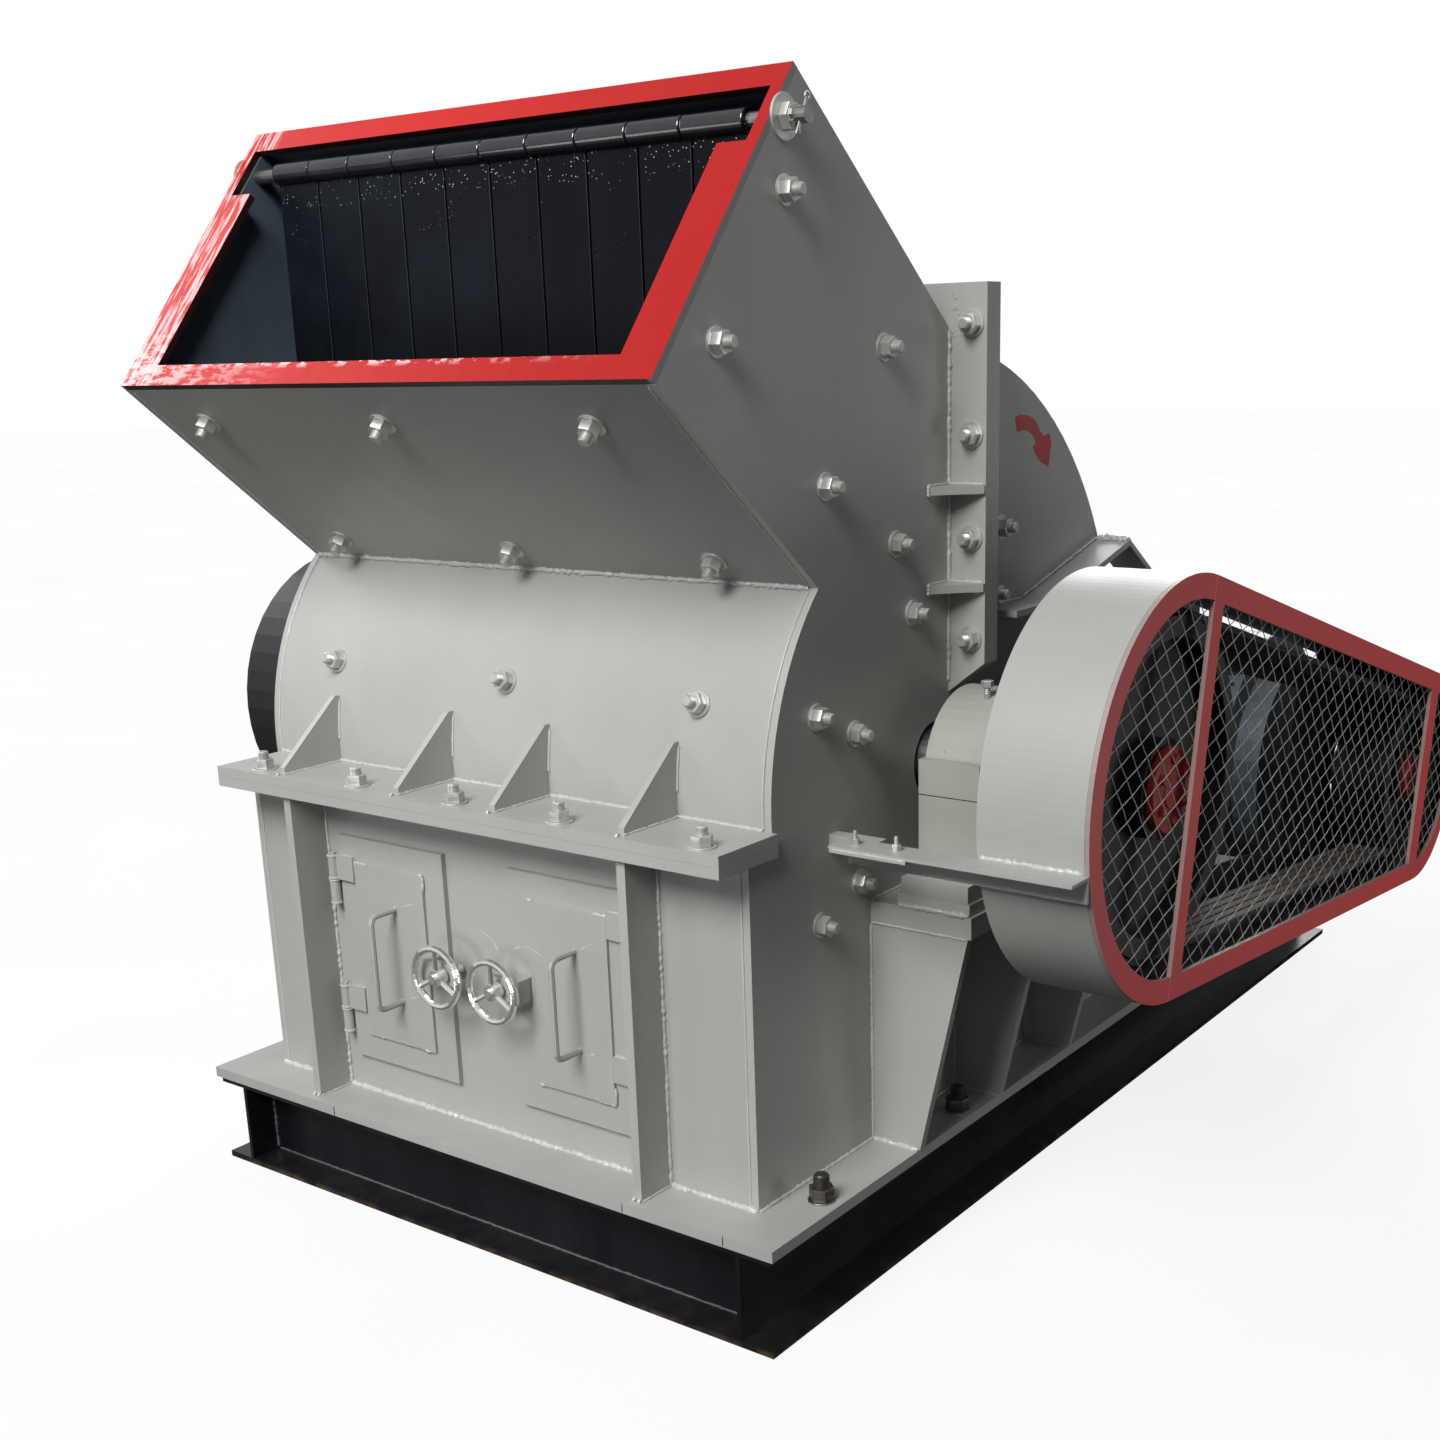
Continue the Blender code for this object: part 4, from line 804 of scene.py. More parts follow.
linerStuds = (
    (0.136, 1.780), (-0.038, 1.570), (0.398, 1.559), (0.226, 1.352), (0.430, 1.244), (0.481, 1.123),
    (0.189, 0.993), (0.299, 0.946), (0.307, 0.688), (0.192, 0.642), (0.786, 1.240), (0.757, 1.122),
)
for side, label in sides:
    spots = [spot((side * halfWidth, y, z), (side, 0, 0)) for y, z in linerStuds]
    copyTo(studAndNut, spots, f"liner_nuts_{label}")

# The chute's floor runs from the mouth's foot to where it meets the curved plate

floorEnd = rotorAxis + frontRadius * wayRound(135.6)
floorWay = (floorEnd - mouthFoot).normalized()
floorOut = Vector((0, floorWay.z, -floorWay.y))
chuteBolts = ((0.098, (-0.467, -0.023, 0.423)), (0.444, (-0.463, -0.018, 0.431)))
spots = []
for down, xs in chuteBolts:
    for x in xs:
        spots.append(spot(mouthFoot + floorWay * down + Vector((x, 0, 0)), floorOut))
copyTo(studAndNut, spots, "chute_nuts")

curveBolts = {"angle": 160.6, "xs": (-0.427, 0.013, 0.441)}
outward = wayRound(curveBolts["angle"])
row = rotorAxis + outward * frontRadius
spots = [spot(row + Vector((x, 0, 0)), outward) for x in curveBolts["xs"]]
copyTo(studAndNut, spots, "front_plate_nuts")

flangeBolts = {"y": -0.060, "xs": (-0.482, -0.226, 0.020, 0.263, 0.559)}
spots = [spot((x, flangeBolts["y"], flangeTop)) for x in flangeBolts["xs"]]
copyTo(studAndNut, spots, "front_flange_nuts")

jointBolts = {"x": 0.645, "nutY": 0.603, "headY": 0.6492, "zs": (1.594, 1.413, 1.239, 1.064)}
for model, y, way, name in (
    (studAndNut, jointBolts["nutY"], (0, -1, 0), "joint_flange_nuts"),
    (hexBolt, jointBolts["headY"], (0, 1, 0), "joint_flange_bolts"),
):
    spots = []
    for side, label in sides:
        spots += [spot((side * jointBolts["x"], y, z), way) for z in jointBolts["zs"]]
    copyTo(model, spots, name)

# Bearings: cap and foot bolts, the split line, and a jack bolt on each cap

bearing = {
    "capBolts": ((0.697, 0.437), (0.747, 0.437), (0.697, 0.675), (0.747, 0.675)),
    "capTop": 0.890,
    "footBolts": ((0.727, 0.372), (0.727, 0.740)),
    "footTop": 0.6973,
    "splitLow": (0.6614, 0.4004, 0.8285),
    "splitHigh": (0.7806, 0.7116, 0.8300),
    "jack": (0.735, 0.505, 0.979),
    "jackThread": (0.0062, 0.012, 0.026, 4, 16),
    "jackHead": (0.019, 0.011, 0.024),
}
spots = []
for side, label in sides:
    spots += [spot((side * x, y, bearing["capTop"])) for x, y in bearing["capBolts"]]
    spots += [spot((side * x, y, bearing["footTop"])) for x, y in bearing["footBolts"]]
copyTo(paintedBolt, spots, "bearing_bolts", "machine")
for side, label in sides:
    xs = sorted(side * bearing[end][0] for end in ("splitLow", "splitHigh"))
    gasket = addBlock((xs[0], *bearing["splitLow"][1:]), (xs[1], *bearing["splitHigh"][1:]), 0.0004)
    setPiece(gasket, f"bearing_split_{label}", "machine", blackPaint)
    thread = addStud(*bearing["jackThread"])
    jack = joinPieces([addNut(*bearing["jackHead"]), thread])
    x, y, z = bearing["jack"]
    jack.data.transform(Matrix.Translation((side * x, y, z)))
    setPiece(jack, f"jack_bolt_{label}", "machine", zincPlate)

# Anchor bolts through the sole plate, and small bolts through the guard's angle

anchors = ((0.660, 0.095), (0.665, 0.530))
spots = []
for side, label in sides:
    spots += [spot((side * x, y, soleTop)) for x, y in anchors]
copyTo(anchorNut, spots, "anchor_bolts", "machine")
angleBolts = ((0.682, 0.176, 0.797), (0.757, 0.180, 0.797))
copyTo(thinNut, [spot(place) for place in angleBolts], "angle_bolts")

# Motor: feet bolts, cooling fins, cowl grille, and the terminal box's lid

motorParts = {
    "feet": (0.055, 0.585),
    "footY": 0.228,
    "footTop": 0.3132,
    "fins": 64,
    "finLow": (-0.138, -0.00175, 0.297),
    "finHigh": (0.708, 0.00175, 0.313),
    "grille": (0.060, 0.100, 0.140, 0.180, 0.220, 0.256),
    "grilleWire": 0.0024,
    "spokes": 6,
    "spoke": (0.020, 0.262, 0.0032),
    "cap": (0.034, 0.006),
}
spots = []
for x in motorParts["feet"]:
    for side, label in sides:
        spots.append(spot((x, motorAxis.y + side * motorParts["footY"], motorParts["footTop"])))
copyTo(darkBolt, spots, "motor_foot_bolts", "machine")

fins = []
fin = addBlock(motorParts["finLow"], motorParts["finHigh"], 0.0008)
for index in range(motorParts["fins"]):
    angle = 360.0 / motorParts["fins"] * index
    # the terminal box and the feet take the place of the others
    if angle < 26 or angle > 334 or 134 < angle < 226:
        continue
    turned = Matrix.Rotation(math.radians(angle), 4, "X")
    fins.append(cloneAt(fin, Matrix.Translation(motorAxis) @ turned))
bpy.data.objects.remove(fin)
setPiece(joinPieces(fins), "motor_fins", "machine", motorEnamel)

cowl = motorAxis + Vector((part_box("motor")[0].x, 0, 0))
rings = []
for radius in motorParts["grille"]:
    start = cowl - Vector((0.003, 0, 0))
    run = [(start + wayRound(9 * index) * radius, motorParts["grilleWire"]) for index in range(40)]
    rings.append(addTubes([run], 6, True))
near, far, thick = motorParts["spoke"]
for index in range(motorParts["spokes"]):
    start = cowl - Vector((0.0035, 0, 0))
    way = wayRound(360.0 / motorParts["spokes"] * index)
    rings.append(addTubes([[(start + way * near, thick), (start + way * far, thick)]], 6))
rings.append(addDisc(cowl - Vector((0.001, 0, 0)), (-1, 0, 0), *motorParts["cap"], 32))
setPiece(joinPieces(rings), "motor_grille", "machine", motorEnamel)

lid = {"x": (0.236, 0.484), "half": 0.114, "z": (0.972, 0.991), "corner": 0.014}
(left, right), (low, high) = lid["x"], lid["z"]
near, far = motorAxis.y - lid["half"], motorAxis.y + lid["half"]
plate = addBlock((left, near, low), (right, far, high), 0.004, 2)
setPiece(plate, "terminal_lid", "machine", motorEnamel)
spots = []
for x in (left + lid["corner"], right - lid["corner"]):
    for y in (far - lid["corner"], near + lid["corner"]):
        spots.append(((x, y, high), (0, 0, 1), 0))
copyTo(smallBolt, spots, "terminal_lid_bolts")

# Red caps on the pulley hubs, and bolts in them

hubs = {
    "crusher": {"axis": rotorAxis, "radius": 0.073, "body": "rotor", "bolts": 6, "ring": 0.052},
    "motor": {"axis": motorAxis, "radius": 0.050, "body": "motor_drive", "bolts": 4, "ring": 0.034},
}
hubCap = {"face": 1.0395, "thick": 0.0155, "step": (0.012, 0.45, 0.0060)}
rise, share, height = hubCap["step"]
for label, hub in hubs.items():
    start = hub["axis"] + Vector((hubCap["face"], 0, 0))
    top = start + Vector((hubCap["thick"], 0, 0))
    cap = addDisc(start, (1, 0, 0), hub["radius"], hubCap["thick"], 40, 0.003)
    step = addDisc(start + Vector((rise, 0, 0)), (1, 0, 0), hub["radius"] * share, height, 28, 0.002)
    setPiece(joinPieces([cap, step]), f"{label}_hub_cap", hub["body"], hubRed)
    ways = [wayRound(360.0 * (index + 0.5) / hub["bolts"]) for index in range(hub["bolts"])]
    spots = [spot(top + way * hub["ring"], (1, 0, 0)) for way in ways]
    copyTo(redBolt, spots, f"{label}_hub_bolts", hub["body"])
print("fasteners and fittings placed")

for model in (studAndNut, anchorNut, thinNut, hexBolt, smallBolt, redBolt, darkBolt, paintedBolt):
    bpy.data.objects.remove(model)

# Rod ends: a large washer and a castle nut on each, and a split pin through the right one

rodEnd = {"washer": (0.033, 0.004), "flats": 0.036, "height": 0.015, "crown": 0.007}
splitPin = {
    "x": 0.6325,
    "wire": 0.0017,
    "lean": -28,
    "eye": 0.0052,
    "eyeTop": 0.0300,
    "neck": 0.0235,
    "legs": (-0.0300, -0.0180),
    "apart": 0.0012,
    "bent": (0.0070, -0.0250),
}


def addCastleNut(flats, height, crown, base):
    # A hex nut with a ring on top, whose alternate faces are pulled up into six teeth
    nut = addNut(flats, height, base)
    addCylinder(12, flats * 0.45, crown * 0.3, (0, 0, base + height + crown * 0.15))
    pickFaces(lambda centre, normal: normal.z > 0.9)
    bpy.ops.mesh.inset(thickness=flats * 0.14)

    def tooth(centre, normal):
        share = math.degrees(math.atan2(centre.y, centre.x)) / 30.0
        return normal.z > 0.9 and centre.xy.length > flats * 0.2 and math.floor(share) % 2 == 0

    pickFaces(tooth)
    bpy.ops.mesh.extrude_region_move(TRANSFORM_OT_translate={"value": (0, 0, crown * 0.7)})
    return joinPieces([nut, donePiece()])


def addSplitPin(place, p):
    # Two legs through the rod, one bent away, and a round eye at the top
    size, apart = p["wire"], p["apart"]
    run = [(Vector((0, -apart, p["legs"][0])), size * 0.8), (Vector((0, -apart, p["neck"])), size)]
    for step in range(1, 20):
        way = wayRound(step * 20 - 110)
        run.append((Vector((0, 0, p["eyeTop"])) + way * p["eye"], size))
    run += [(Vector((0, apart, p["neck"])), size), (Vector((0, apart, p["legs"][1])), size)]
    run.append((Vector((0, *p["bent"])), size * 0.8))
    pin = addTubes([run], 8)
    pin.data.transform(Matrix.Translation(place) @ Matrix.Rotation(math.radians(p["lean"]), 4, "X"))
    return pin


for side, label in sides:
    washer = addWasher(*rodEnd["washer"])
    nut = addCastleNut(rodEnd["flats"], rodEnd["height"], rodEnd["crown"], rodEnd["washer"][1])
    pair = joinPieces([nut, washer])
    turned = Matrix.Rotation(math.radians(90 * side), 4, "Y")
    pair.data.transform(Matrix.Translation((side * halfWidth, rodAxis.y, rodAxis.z)) @ turned)
    setPiece(pair, f"rod_nut_{label}", "machine", zincPlate)
pin = addSplitPin(Vector((splitPin["x"], rodAxis.y, rodAxis.z)), splitPin)
setPiece(pin, "rod_split_pin", "machine", zincPlate)

# Flap curtain: one loose sleeve for each flap, and thin metal strips on the flaps' edges as painted
# highlights

sleeves = {
    "bounds": (-0.514, -0.418, -0.314, -0.203, -0.099, 0.003, 0.107, 0.212, 0.315, 0.421, 0.540),
    "radius": 0.0195,
    "play": 0.0016,
}
parts = []
for low, high in zip(sleeves["bounds"], sleeves["bounds"][1:]):
    start = rodAxis + Vector((low + sleeves["play"], 0, 0))
    length = high - low - 2 * sleeves["play"]
    parts.append(addDisc(start, (1, 0, 0), sleeves["radius"], length, 32, 0.0016))
setPiece(joinPieces(parts), "flap_sleeves", "curtain", sleeveBlack)

# Painted highlights: thin pale strips along each flap's right edge and foot
flapHighlightStrips = {"count": 10, "inset": 0.0028, "face": -0.0048, "top": -0.022, "foot": 0.0012}
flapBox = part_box("flap_curtain")
flapPitch = (flapBox[1].x - flapBox[0].x) / flapHighlightStrips["count"]
face = rodAxis.y + flapHighlightStrips["face"]
top, bottom = rodAxis.z + flapHighlightStrips["top"], flapBox[0].z + flapHighlightStrips["foot"]
runs = []
for index in range(flapHighlightStrips["count"]):
    left = flapBox[0].x + index * flapPitch + flapHighlightStrips["inset"]
    right = left + flapPitch - 2 * flapHighlightStrips["inset"]
    levels = (top, (top + bottom) / 2, bottom)
    runs.append([(Vector((right, face, z)), chance.uniform(0.0004, 0.0009)) for z in levels])
    runs.append([(Vector((x, face, bottom)), 0.0007) for x in (left, right)])
setPiece(addTubes(runs, 6), "flap_edge_highlights", "curtain", flapEdgeHighlight)

# Rotation arrow on the rear cover's right side

arrow = (
    (0.837, 1.432), (0.852, 1.436), (0.883, 1.434), (0.905, 1.428), (0.921, 1.417), (0.934, 1.402),
    (0.948, 1.394), (0.970, 1.398), (0.978, 1.380), (0.973, 1.359), (0.968, 1.337), (0.936, 1.348),
    (0.918, 1.362), (0.905, 1.378), (0.919, 1.381), (0.913, 1.392), (0.899, 1.401), (0.882, 1.407),
    (0.863, 1.408), (0.845, 1.406),
)
setPiece(addSheet(arrow, halfWidth + 0.0002, 0.0006), "rotation_arrow", "machine", arrowRed)
print("rod ends, curtain and arrow made")

# Belts: five V-belts in place of the plain loop, and a black lining inside the guard's band

drive = {"big": 0.285, "small": 0.165, "play": 0.0006, "plate": 0.012, "count": 5, "apart": 0.003}
guard = {
    "big": 0.354,
    "small": 0.236,
    "sheet": 0.005,
    "lining": (0.8985, 1.0690),
    "play": 0.0004,
    "plate": 0.0008,
}


def loopOutline(big, small, offset, step):
    # The line of a belt round both shafts, or of the guard outside it
    away = motorAxis.yz - rotorAxis.yz
    slope = math.degrees(beltSlope)
    opening = math.degrees(math.acos((big - small) / away.length))
    outline = []
    for centre, radius, first, last in (
        (rotorAxis, big + offset, slope + opening, slope + 360 - opening),
        (motorAxis, small + offset, slope - opening, slope + opening),
    ):
        count = round((last - first) / step)
        for index in range(count + 1):
            point = centre + wayRound(first + (last - first) * index / count) * radius
            outline.append((point.y, point.z))
    return outline


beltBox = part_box("belt_loop")
beltPitch = (beltBox[1].x - beltBox[0].x) / drive["count"]
beltOutline = loopOutline(drive["big"], drive["small"], drive["play"] + drive["plate"], 6.0)
belts = []
for index in range(drive["count"]):
    low = beltBox[0].x + index * beltPitch + drive["apart"] / 2
    belts.append(addBand(beltOutline, low, low + beltPitch - drive["apart"], drive["plate"], 0.0022))
beltPiece = setPiece(joinPieces(belts), "v_belts", "machine", rubber)
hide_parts("belt_loop")

liningOutline = loopOutline(guard["big"], guard["small"], -guard["sheet"] - guard["play"], 5.0)
lining = addBand(liningOutline, *guard["lining"], guard["plate"])
setPiece(lining, "guard_lining", "machine", liningPaint)

# The guard's bars show a pale unpainted edge on the side of the crusher shaft

barEdges = {"x": (1.0727, 1.0804), "thick": 0.0008, "bars": ((0.0228, 0.312), (1.3352, 0.194))}
edges = []
near, far = barEdges["x"]
for along, reach in barEdges["bars"]:
    edge = addBlock((near, along - barEdges["thick"], -reach), (far, along, reach), 0.0002)
    edge.data.transform(Matrix.Translation(rotorAxis) @ Matrix.Rotation(beltSlope, 4, "X"))
    edges.append(edge)
setPiece(joinPieces(edges), "guard_bar_edges", "machine", barePale)

# Woven wire of the guard: every wire, slightly waved over and under its neighbours

woven = {
    "start": Vector((0.4371, 1.0811)),
    "steps": (Vector((0.0354, 0.0108)), Vector((0.0212, -0.0282))),
    "inset": 0.011,
    "radius": 0.00090,
    "wave": 0.0006,
    "x": 1.0709,
    "reach": 80,
    "points": 4,
    "bend": 0.0006,
    "shake": 0.0002,
}


def clipLine(place, way, outline):
    # The stretch of a line, as two distances from its place, that lies in a convex outline
    low, high = -999.0, 999.0
    for index, corner in enumerate(outline):
        edge = Vector(outline[(index + 1) % len(outline)]) - Vector(corner)
        if edge.length < 1e-6:
            continue
        inward = Vector((-edge.y, edge.x))
        height = (place - Vector(corner)).dot(inward)
        climb = way.dot(inward)
        if abs(climb) < 1e-9:
            if height < 0:
                return None
        elif climb > 0:
            low = max(low, -height / climb)
        else:
            high = min(high, -height / climb)
    return (low, high) if high - low > 0.01 else None


meshOutline = loopOutline(guard["big"], guard["small"], -woven["inset"], 5.0)
runs = []
for way, across, phase in ((*woven["steps"], 0.0), (*woven["steps"][::-1], math.pi)):
    for index in range(-woven["reach"], woven["reach"] + 1):
        place = woven["start"] + across * index
        stretch = clipLine(place, way, meshOutline)
        if stretch is None:
            continue
        low, high = stretch
        count = max(2, math.ceil((high - low) * woven["points"]))
        bend = chance.uniform(-woven["bend"], woven["bend"])
        run = []
        for step in range(count + 1):
            t = low + (high - low) * step / count
            point = place + way * t
            x = woven["x"] + woven["wave"] * math.cos(math.pi * (t + index) + phase)
            sway = bend * math.sin(t * 1.3) + chance.uniform(-woven["shake"], woven["shake"])
            run.append((Vector((x, point.x + sway, point.y + sway)), woven["radius"]))
        runs.append(run)
meshPiece = setPiece(addTubes(runs, 6), "guard_wires", "machine", wireZinc)
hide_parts("guard_mesh")
print("belts, lining and guard wires made")

# Weld beads: uneven tubes half sunk in the corners they fill


weld = {"wander": 0.22, "end": 0.6, "ripple": 1.9}


def bead(start, end, radius, lumpy=0.22, step=0.0045):
    start, end = Vector(start), Vector(end)
    count = max(2, int((end - start).length / step))
    run = []
    for index in range(count + 1):
        wander = Vector([chance.uniform(-1, 1) * weld["wander"] * radius for axis in range(3)])
        share = 1.0 + lumpy * math.sin(index * weld["ripple"]) * 0.5 + chance.uniform(-lumpy, lumpy)
        if index in (0, count):
            share *= weld["end"]
        run.append((start.lerp(end, index / count) + wander, radius * share))
    return run


def arcBead(radius, first, last, x, size, lumpy=0.22, step=0.0045):
    # A bead along the curved front plate, about the rotor's axis
    count = max(2, int(math.radians(abs(last - first)) * radius / step))
    run = []
    for index in range(count + 1):
        share = 1.0 + chance.uniform(-lumpy, lumpy)
        way = wayRound(first + (last - first) * index / count)
        run.append((rotorAxis + way * radius + Vector((x, 0, 0)), size * share))
    return run


def blob(place, radius):
    # A short heap of weld: three thick points close together
    place = Vector(place)
    shift = Vector((radius * 0.5, 0, 0))
    return [(place - shift, radius * 0.7), (place, radius), (place + shift, radius * 0.7)]


def alongX(first, last, y, z, *size):
    return bead((first, y, z), (last, y, z), *size)


def alongY(x, first, last, z, *size):
    return bead((x, first, z), (x, last, z), *size)


def alongZ(x, y, first, last, *size):
    return bead((x, y, first), (x, y, last), *size)


def makeWelds(name, runs, look=weldPaint, corners=8):
    setPiece(addTubes(runs, corners), name, "machine", look)


# Welds of the chute, the joint plates and their ribs, and the flange's gussets

wall = halfWidth + 0.0012
plateEdge = 0.5842
chuteWelds = [
    alongX(-0.584, 0.584, 0.2010, 1.1967, 0.0046, 0.40),
    alongX(-0.584, 0.584, 0.0618, 0.8325, 0.0034, 0.30),
]
lay = chuteWelds.append
for side, label in sides:
    edge = Vector((side * plateEdge, 0, 0))
    lay(bead(mouthFoot + floorWay * 0.018 + edge, floorEnd + edge, 0.0020))
    lay(arcBead(0.4932, 182.0, 136.0, edge.x, 0.0022))
    lay(alongZ(side * wall, 0.6012, 0.986, 1.585, 0.0038, 0.34))
    lay(alongZ(side * wall, 0.6500, 0.986, 1.552, 0.0034, 0.30))
    for level in (1.156, 1.323):
        for z in (level - 0.0085, level + 0.0085):
            lay(alongY(side * wall, 0.533, 0.600, z, 0.0024, 0.3))
            lay(alongX(side * 0.604, side * 0.668, 0.6015, z, 0.0024, 0.3))
        for shift in (-0.006, 0.0, 0.006):
            lay(blob((side * 0.604, 0.530, level + shift), 0.0056))
    # spatter on the joint plate's upper end
    for index in range(34):
        low = chance.random() ** 2
        place = (side * chance.uniform(0.603, 0.640 - 0.030 * low), 0.6025, 1.575 + 0.070 * low)
        lay(blob(place, chance.uniform(0.0008, 0.0022)))
    lay(alongY(side * wall, 0.722, 0.866, 1.102, 0.0030, 0.4))
    lay(bead((side * wall, 0.874, 1.104), (side * wall, 1.180, 1.185), 0.0032, 0.4))
    for y, z in ((1.176, 1.183), (1.184, 1.185), (1.192, 1.179)):
        lay(alongX(side * 0.605, side * 0.670, y, z, 0.0050, 0.5))
gussets = (-0.418, -0.114, 0.120, 0.404)
for x in gussets:
    for side, label in sides:
        toe = x + side * 0.0075
        lay(alongY(toe, -0.074, 0.060, flangeTop + 0.001, 0.0024, 0.3))
        lay(arcBead(0.4938, 177.4, 169.0, toe, 0.0024))
    lay(blob((x, -0.080, flangeTop + 0.001), 0.0052))
makeWelds("chute_welds", chuteWelds)

# Welds of the lower front wall and its two upright ribs

frontWelds = []
lay = frontWelds.append
for low, high in ((-0.598, -0.417), (-0.393, 0.393), (0.417, 0.598)):
    lay(alongX(low, high, -0.0012, soleTop + 0.0014, 0.0054, 0.42))
for side, label in sides:
    for x in (side * 0.3952, side * 0.4148):
        lay(alongZ(x, -0.0010, soleTop, flangeUnder, 0.0034, 0.42))
        lay(alongY(x, -0.078, -0.002, soleTop + 0.001, 0.0022, 0.3))
    for shift in (-0.006, 0.006):
        lay(blob((side * 0.405 + shift, -0.0795, soleTop + 0.002), 0.0060))
    lay(blob((side * 0.405, -0.079, flangeUnder - 0.001), 0.0050))
    lay(alongZ(side * plateEdge, -0.0004, soleTop, flangeUnder, 0.0018, 0.3))
makeWelds("front_wall_welds", frontWelds)

# Welds of the side walls and the pedestals' webs

pedestal = {"webs": (0.3422, 0.3598, 0.6262, 0.6438, 0.9102, 0.9278), "inner": 0.604, "foot": 0.697}
inner, foot = pedestal["inner"], pedestal["foot"]
sideWelds = []
lay = sideWelds.append
for side, label in sides:
    lay(alongY(side * wall, 0.002, 1.268, soleTop + 0.0012, 0.0036, 0.28))
    for face in pedestal["webs"]:
        lay(alongZ(side * wall, face, soleTop + 0.004, 0.604, 0.0028, 0.30))
        lay(alongX(side * inner, side * foot, face, soleTop + 0.001, 0.0026, 0.30))
        lay(alongX(side * inner, side * 0.790, face, 0.6062, 0.0022, 0.26))
    lay(alongY(side * wall, 0.345, 0.925, 0.6460, 0.0028, 0.26))
    lay(alongX(side * 0.656, side * 0.794, 0.3440, 0.6470, 0.0044, 0.45))
    lay(alongX(side * inner, side * foot, 0.3405, 0.1990, 0.0048, 0.45))
lay(alongX(-0.597, 0.597, 1.2712, soleTop + 0.0012, 0.0034, 0.28))
makeWelds("side_welds", sideWelds)

# Welds on the doors: round the raised panel, at the handle's feet and along the hinge leaves

door = {"face": -0.0163, "inner": 0.130, "outer": 0.310, "leaf": 0.312, "lumpy": 0.4}
doorWelds = {"left": [], "right": []}
for side, label, handle in ((-1, "left", -0.207), (1, "right", 0.236)):
    inner, outer = side * door["inner"], side * door["outer"]
    panel = (
        (outer, outer - side * 0.030, 0.6645, 0.6645, 0.0030),
        (inner, inner + side * 0.010, 0.6645, 0.6645, 0.0036),
        (inner, inner, 0.6640, 0.6360, 0.0028),
        (outer, outer, 0.6640, 0.6260, 0.0030),
        (outer, outer, 0.3560, 0.3240, 0.0032),
        (outer, outer - side * 0.040, 0.3235, 0.3235, 0.0030),
        (inner + side * 0.030, inner, 0.3235, 0.3235, 0.0030),
    )
    lay = doorWelds[label].append
    y = door["face"] + 0.003
    for first, last, low, high, size in panel:
        lay(bead((first, y, low), (last, y, high), size, door["lumpy"]))
    for z in (0.410, 0.590):
        lay(blob((handle, door["face"] - 0.001, z), 0.0072))
    for z in (0.368, 0.626):
        leaf = side * door["leaf"]
        lay(alongZ(leaf, -0.0125, z + 0.002, z + 0.046, 0.0022, door["lumpy"]))
        lay(alongX(leaf, side * 0.350, -0.0125, z + 0.047, 0.0022, door["lumpy"]))
        lay(alongZ(side * 0.384, -0.002, z - 0.046, z - 0.004, 0.0024, door["lumpy"]))
setPiece(addTubes(doorWelds["right"], 8), "right_door_welds", "right_door", weldPaint)
setPiece(addTubes(doorWelds["left"], 8), "left_door_welds", "left_door", weldPaint)

# Welds of the guard's angle, the base beams, and the seams in the sole plate's front edge

guardWelds = [
    alongX(0.892, 1.068, 0.2062, 0.7985, 0.0048, 0.42),
    alongX(0.892, 1.068, 0.2040, 0.7560, 0.0030, 0.30),
    alongX(0.656, 0.790, 0.1478, 0.7910, 0.0020, 0.36),
]
makeWelds("guard_welds", guardWelds)

beamWelds = [alongX(-0.612, 0.612, -0.0262, z, 0.0022, 0.2, 0.007) for z in (0.0130, 0.1640)]
lay = beamWelds.append
for side, label in sides:
    lay(alongZ(side * 0.6160, -0.0262, 0.016, 0.162, 0.0030, 0.5))
    lay(alongY(side * 0.5535, -0.0262, 0.046, 0.0130, 0.0020, 0.3))
makeWelds("beam_welds", beamWelds, blackWeld)

seams = [alongZ(x, -0.0960, 0.1785, 0.1968, 0.0009, 0.2) for x in (-0.339, 0.385, 0.598)]
makeWelds("sole_seams", seams, blackPaint, 6)

# Hinges: rings round the barrels, half of them on the fixed leaf

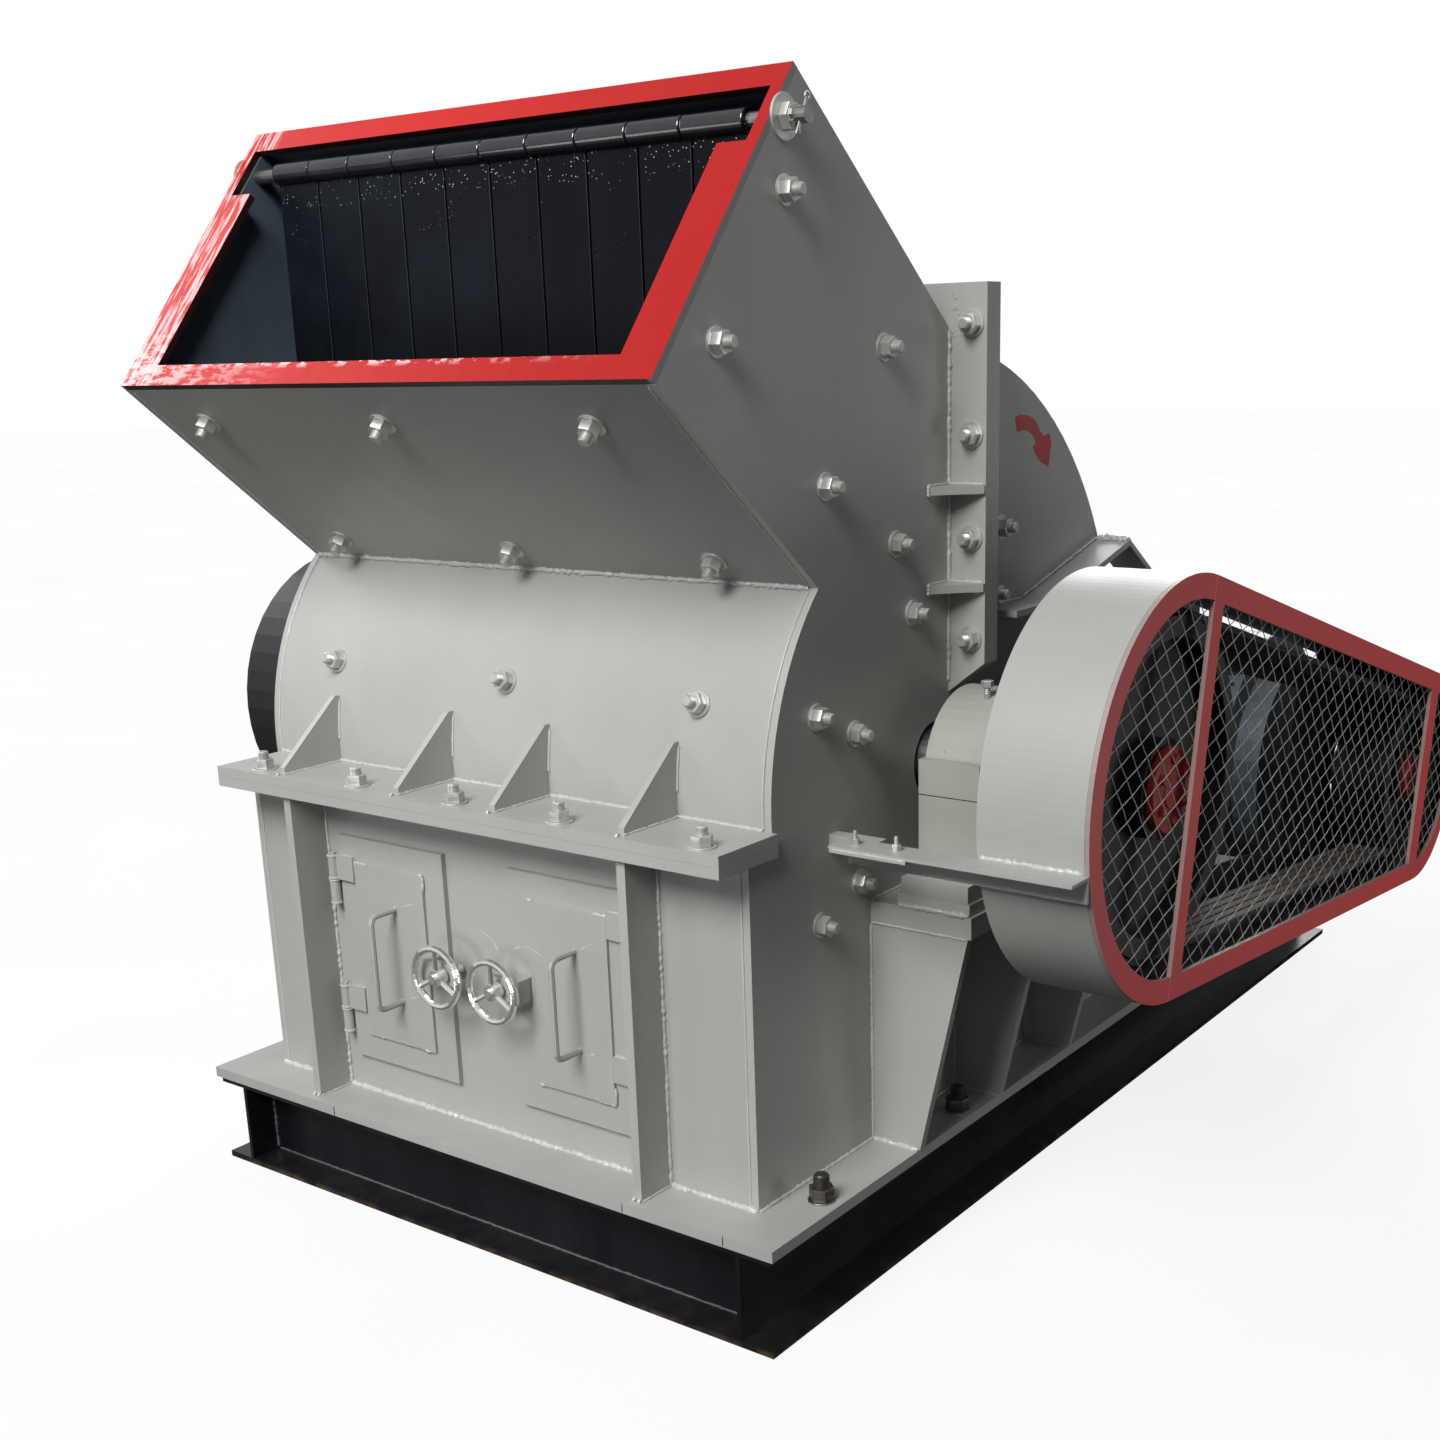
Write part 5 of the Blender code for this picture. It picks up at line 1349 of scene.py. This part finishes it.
hinge = {
    "place": (0.367, -0.016),
    "levels": (("lower", 0.368), ("upper", 0.626)),
    "ring": (0.0116, 0.0036, 24, 0.0009),
    "fixed": (-0.0478, -0.0042),
    "moving": (0.0008, 0.0432),
}
for side, label in sides:
    for level, z in hinge["levels"]:
        for kind, body in (("fixed", "machine"), ("moving", f"{label}_door")):
            rings = []
            for shift in hinge[kind]:
                start = (side * hinge["place"][0], hinge["place"][1], z + shift)
                rings.append(addDisc(start, (0, 0, 1), *hinge["ring"]))
            name = f"hinge_rings_{label}_{level}_{kind}"
            setPiece(joinPieces(rings), name, body, weldPaint)
print("welds made")

# Floor: nearly white to the camera, and a darker diffuse floor to the light it throws back

floorSettings = {
    "size": 80.0,
    "drop": 0.0005,
    "near": 2.0,
    "far": 4.5,
    "share": 0.86,
    "thrown": ((104, 104, 102), (74, 74, 74)),
    "across": (-1.1, 0.8),
}


def makeFloorPaint(f):
    look = Finish("paleFloor")
    tint = look.blend(look.patches(0.3, 0.7, 0.8, 3.0), tone(255, 255, 255), tone(252, 252, 252))
    away = look.node("ShaderNodeVectorMath", {"operation": "LENGTH"}, {0: look.place}, 1)
    share = f["share"] + look.window(away, f["near"], f["far"]) * (1.0 - f["share"])
    thrown = look.blend(look.window(look.at("x"), *f["across"]), *(tone(*shade) for shade in f["thrown"]))
    dull = look.node("ShaderNodeBsdfDiffuse", None, {"Color": thrown})
    paint = look.node("ShaderNodeBsdfDiffuse", None, {"Color": tint})
    glow = look.node("ShaderNodeEmission", None, {"Color": tint, "Strength": 1.0})
    shown = look.node("ShaderNodeMixShader", None, {0: share, 1: paint, 2: glow})
    seen = look.node("ShaderNodeLightPath", output="Is Camera Ray")
    return look.surface(look.node("ShaderNodeMixShader", None, {0: seen, 1: dull, 2: shown}))


startPiece()
bpy.ops.mesh.primitive_plane_add(size=floorSettings["size"], location=(0, 0, -floorSettings["drop"]))
floor = bpy.context.object
floor.name = "studio_floor"
floor.data.materials.append(makeFloorPaint(floorSettings))
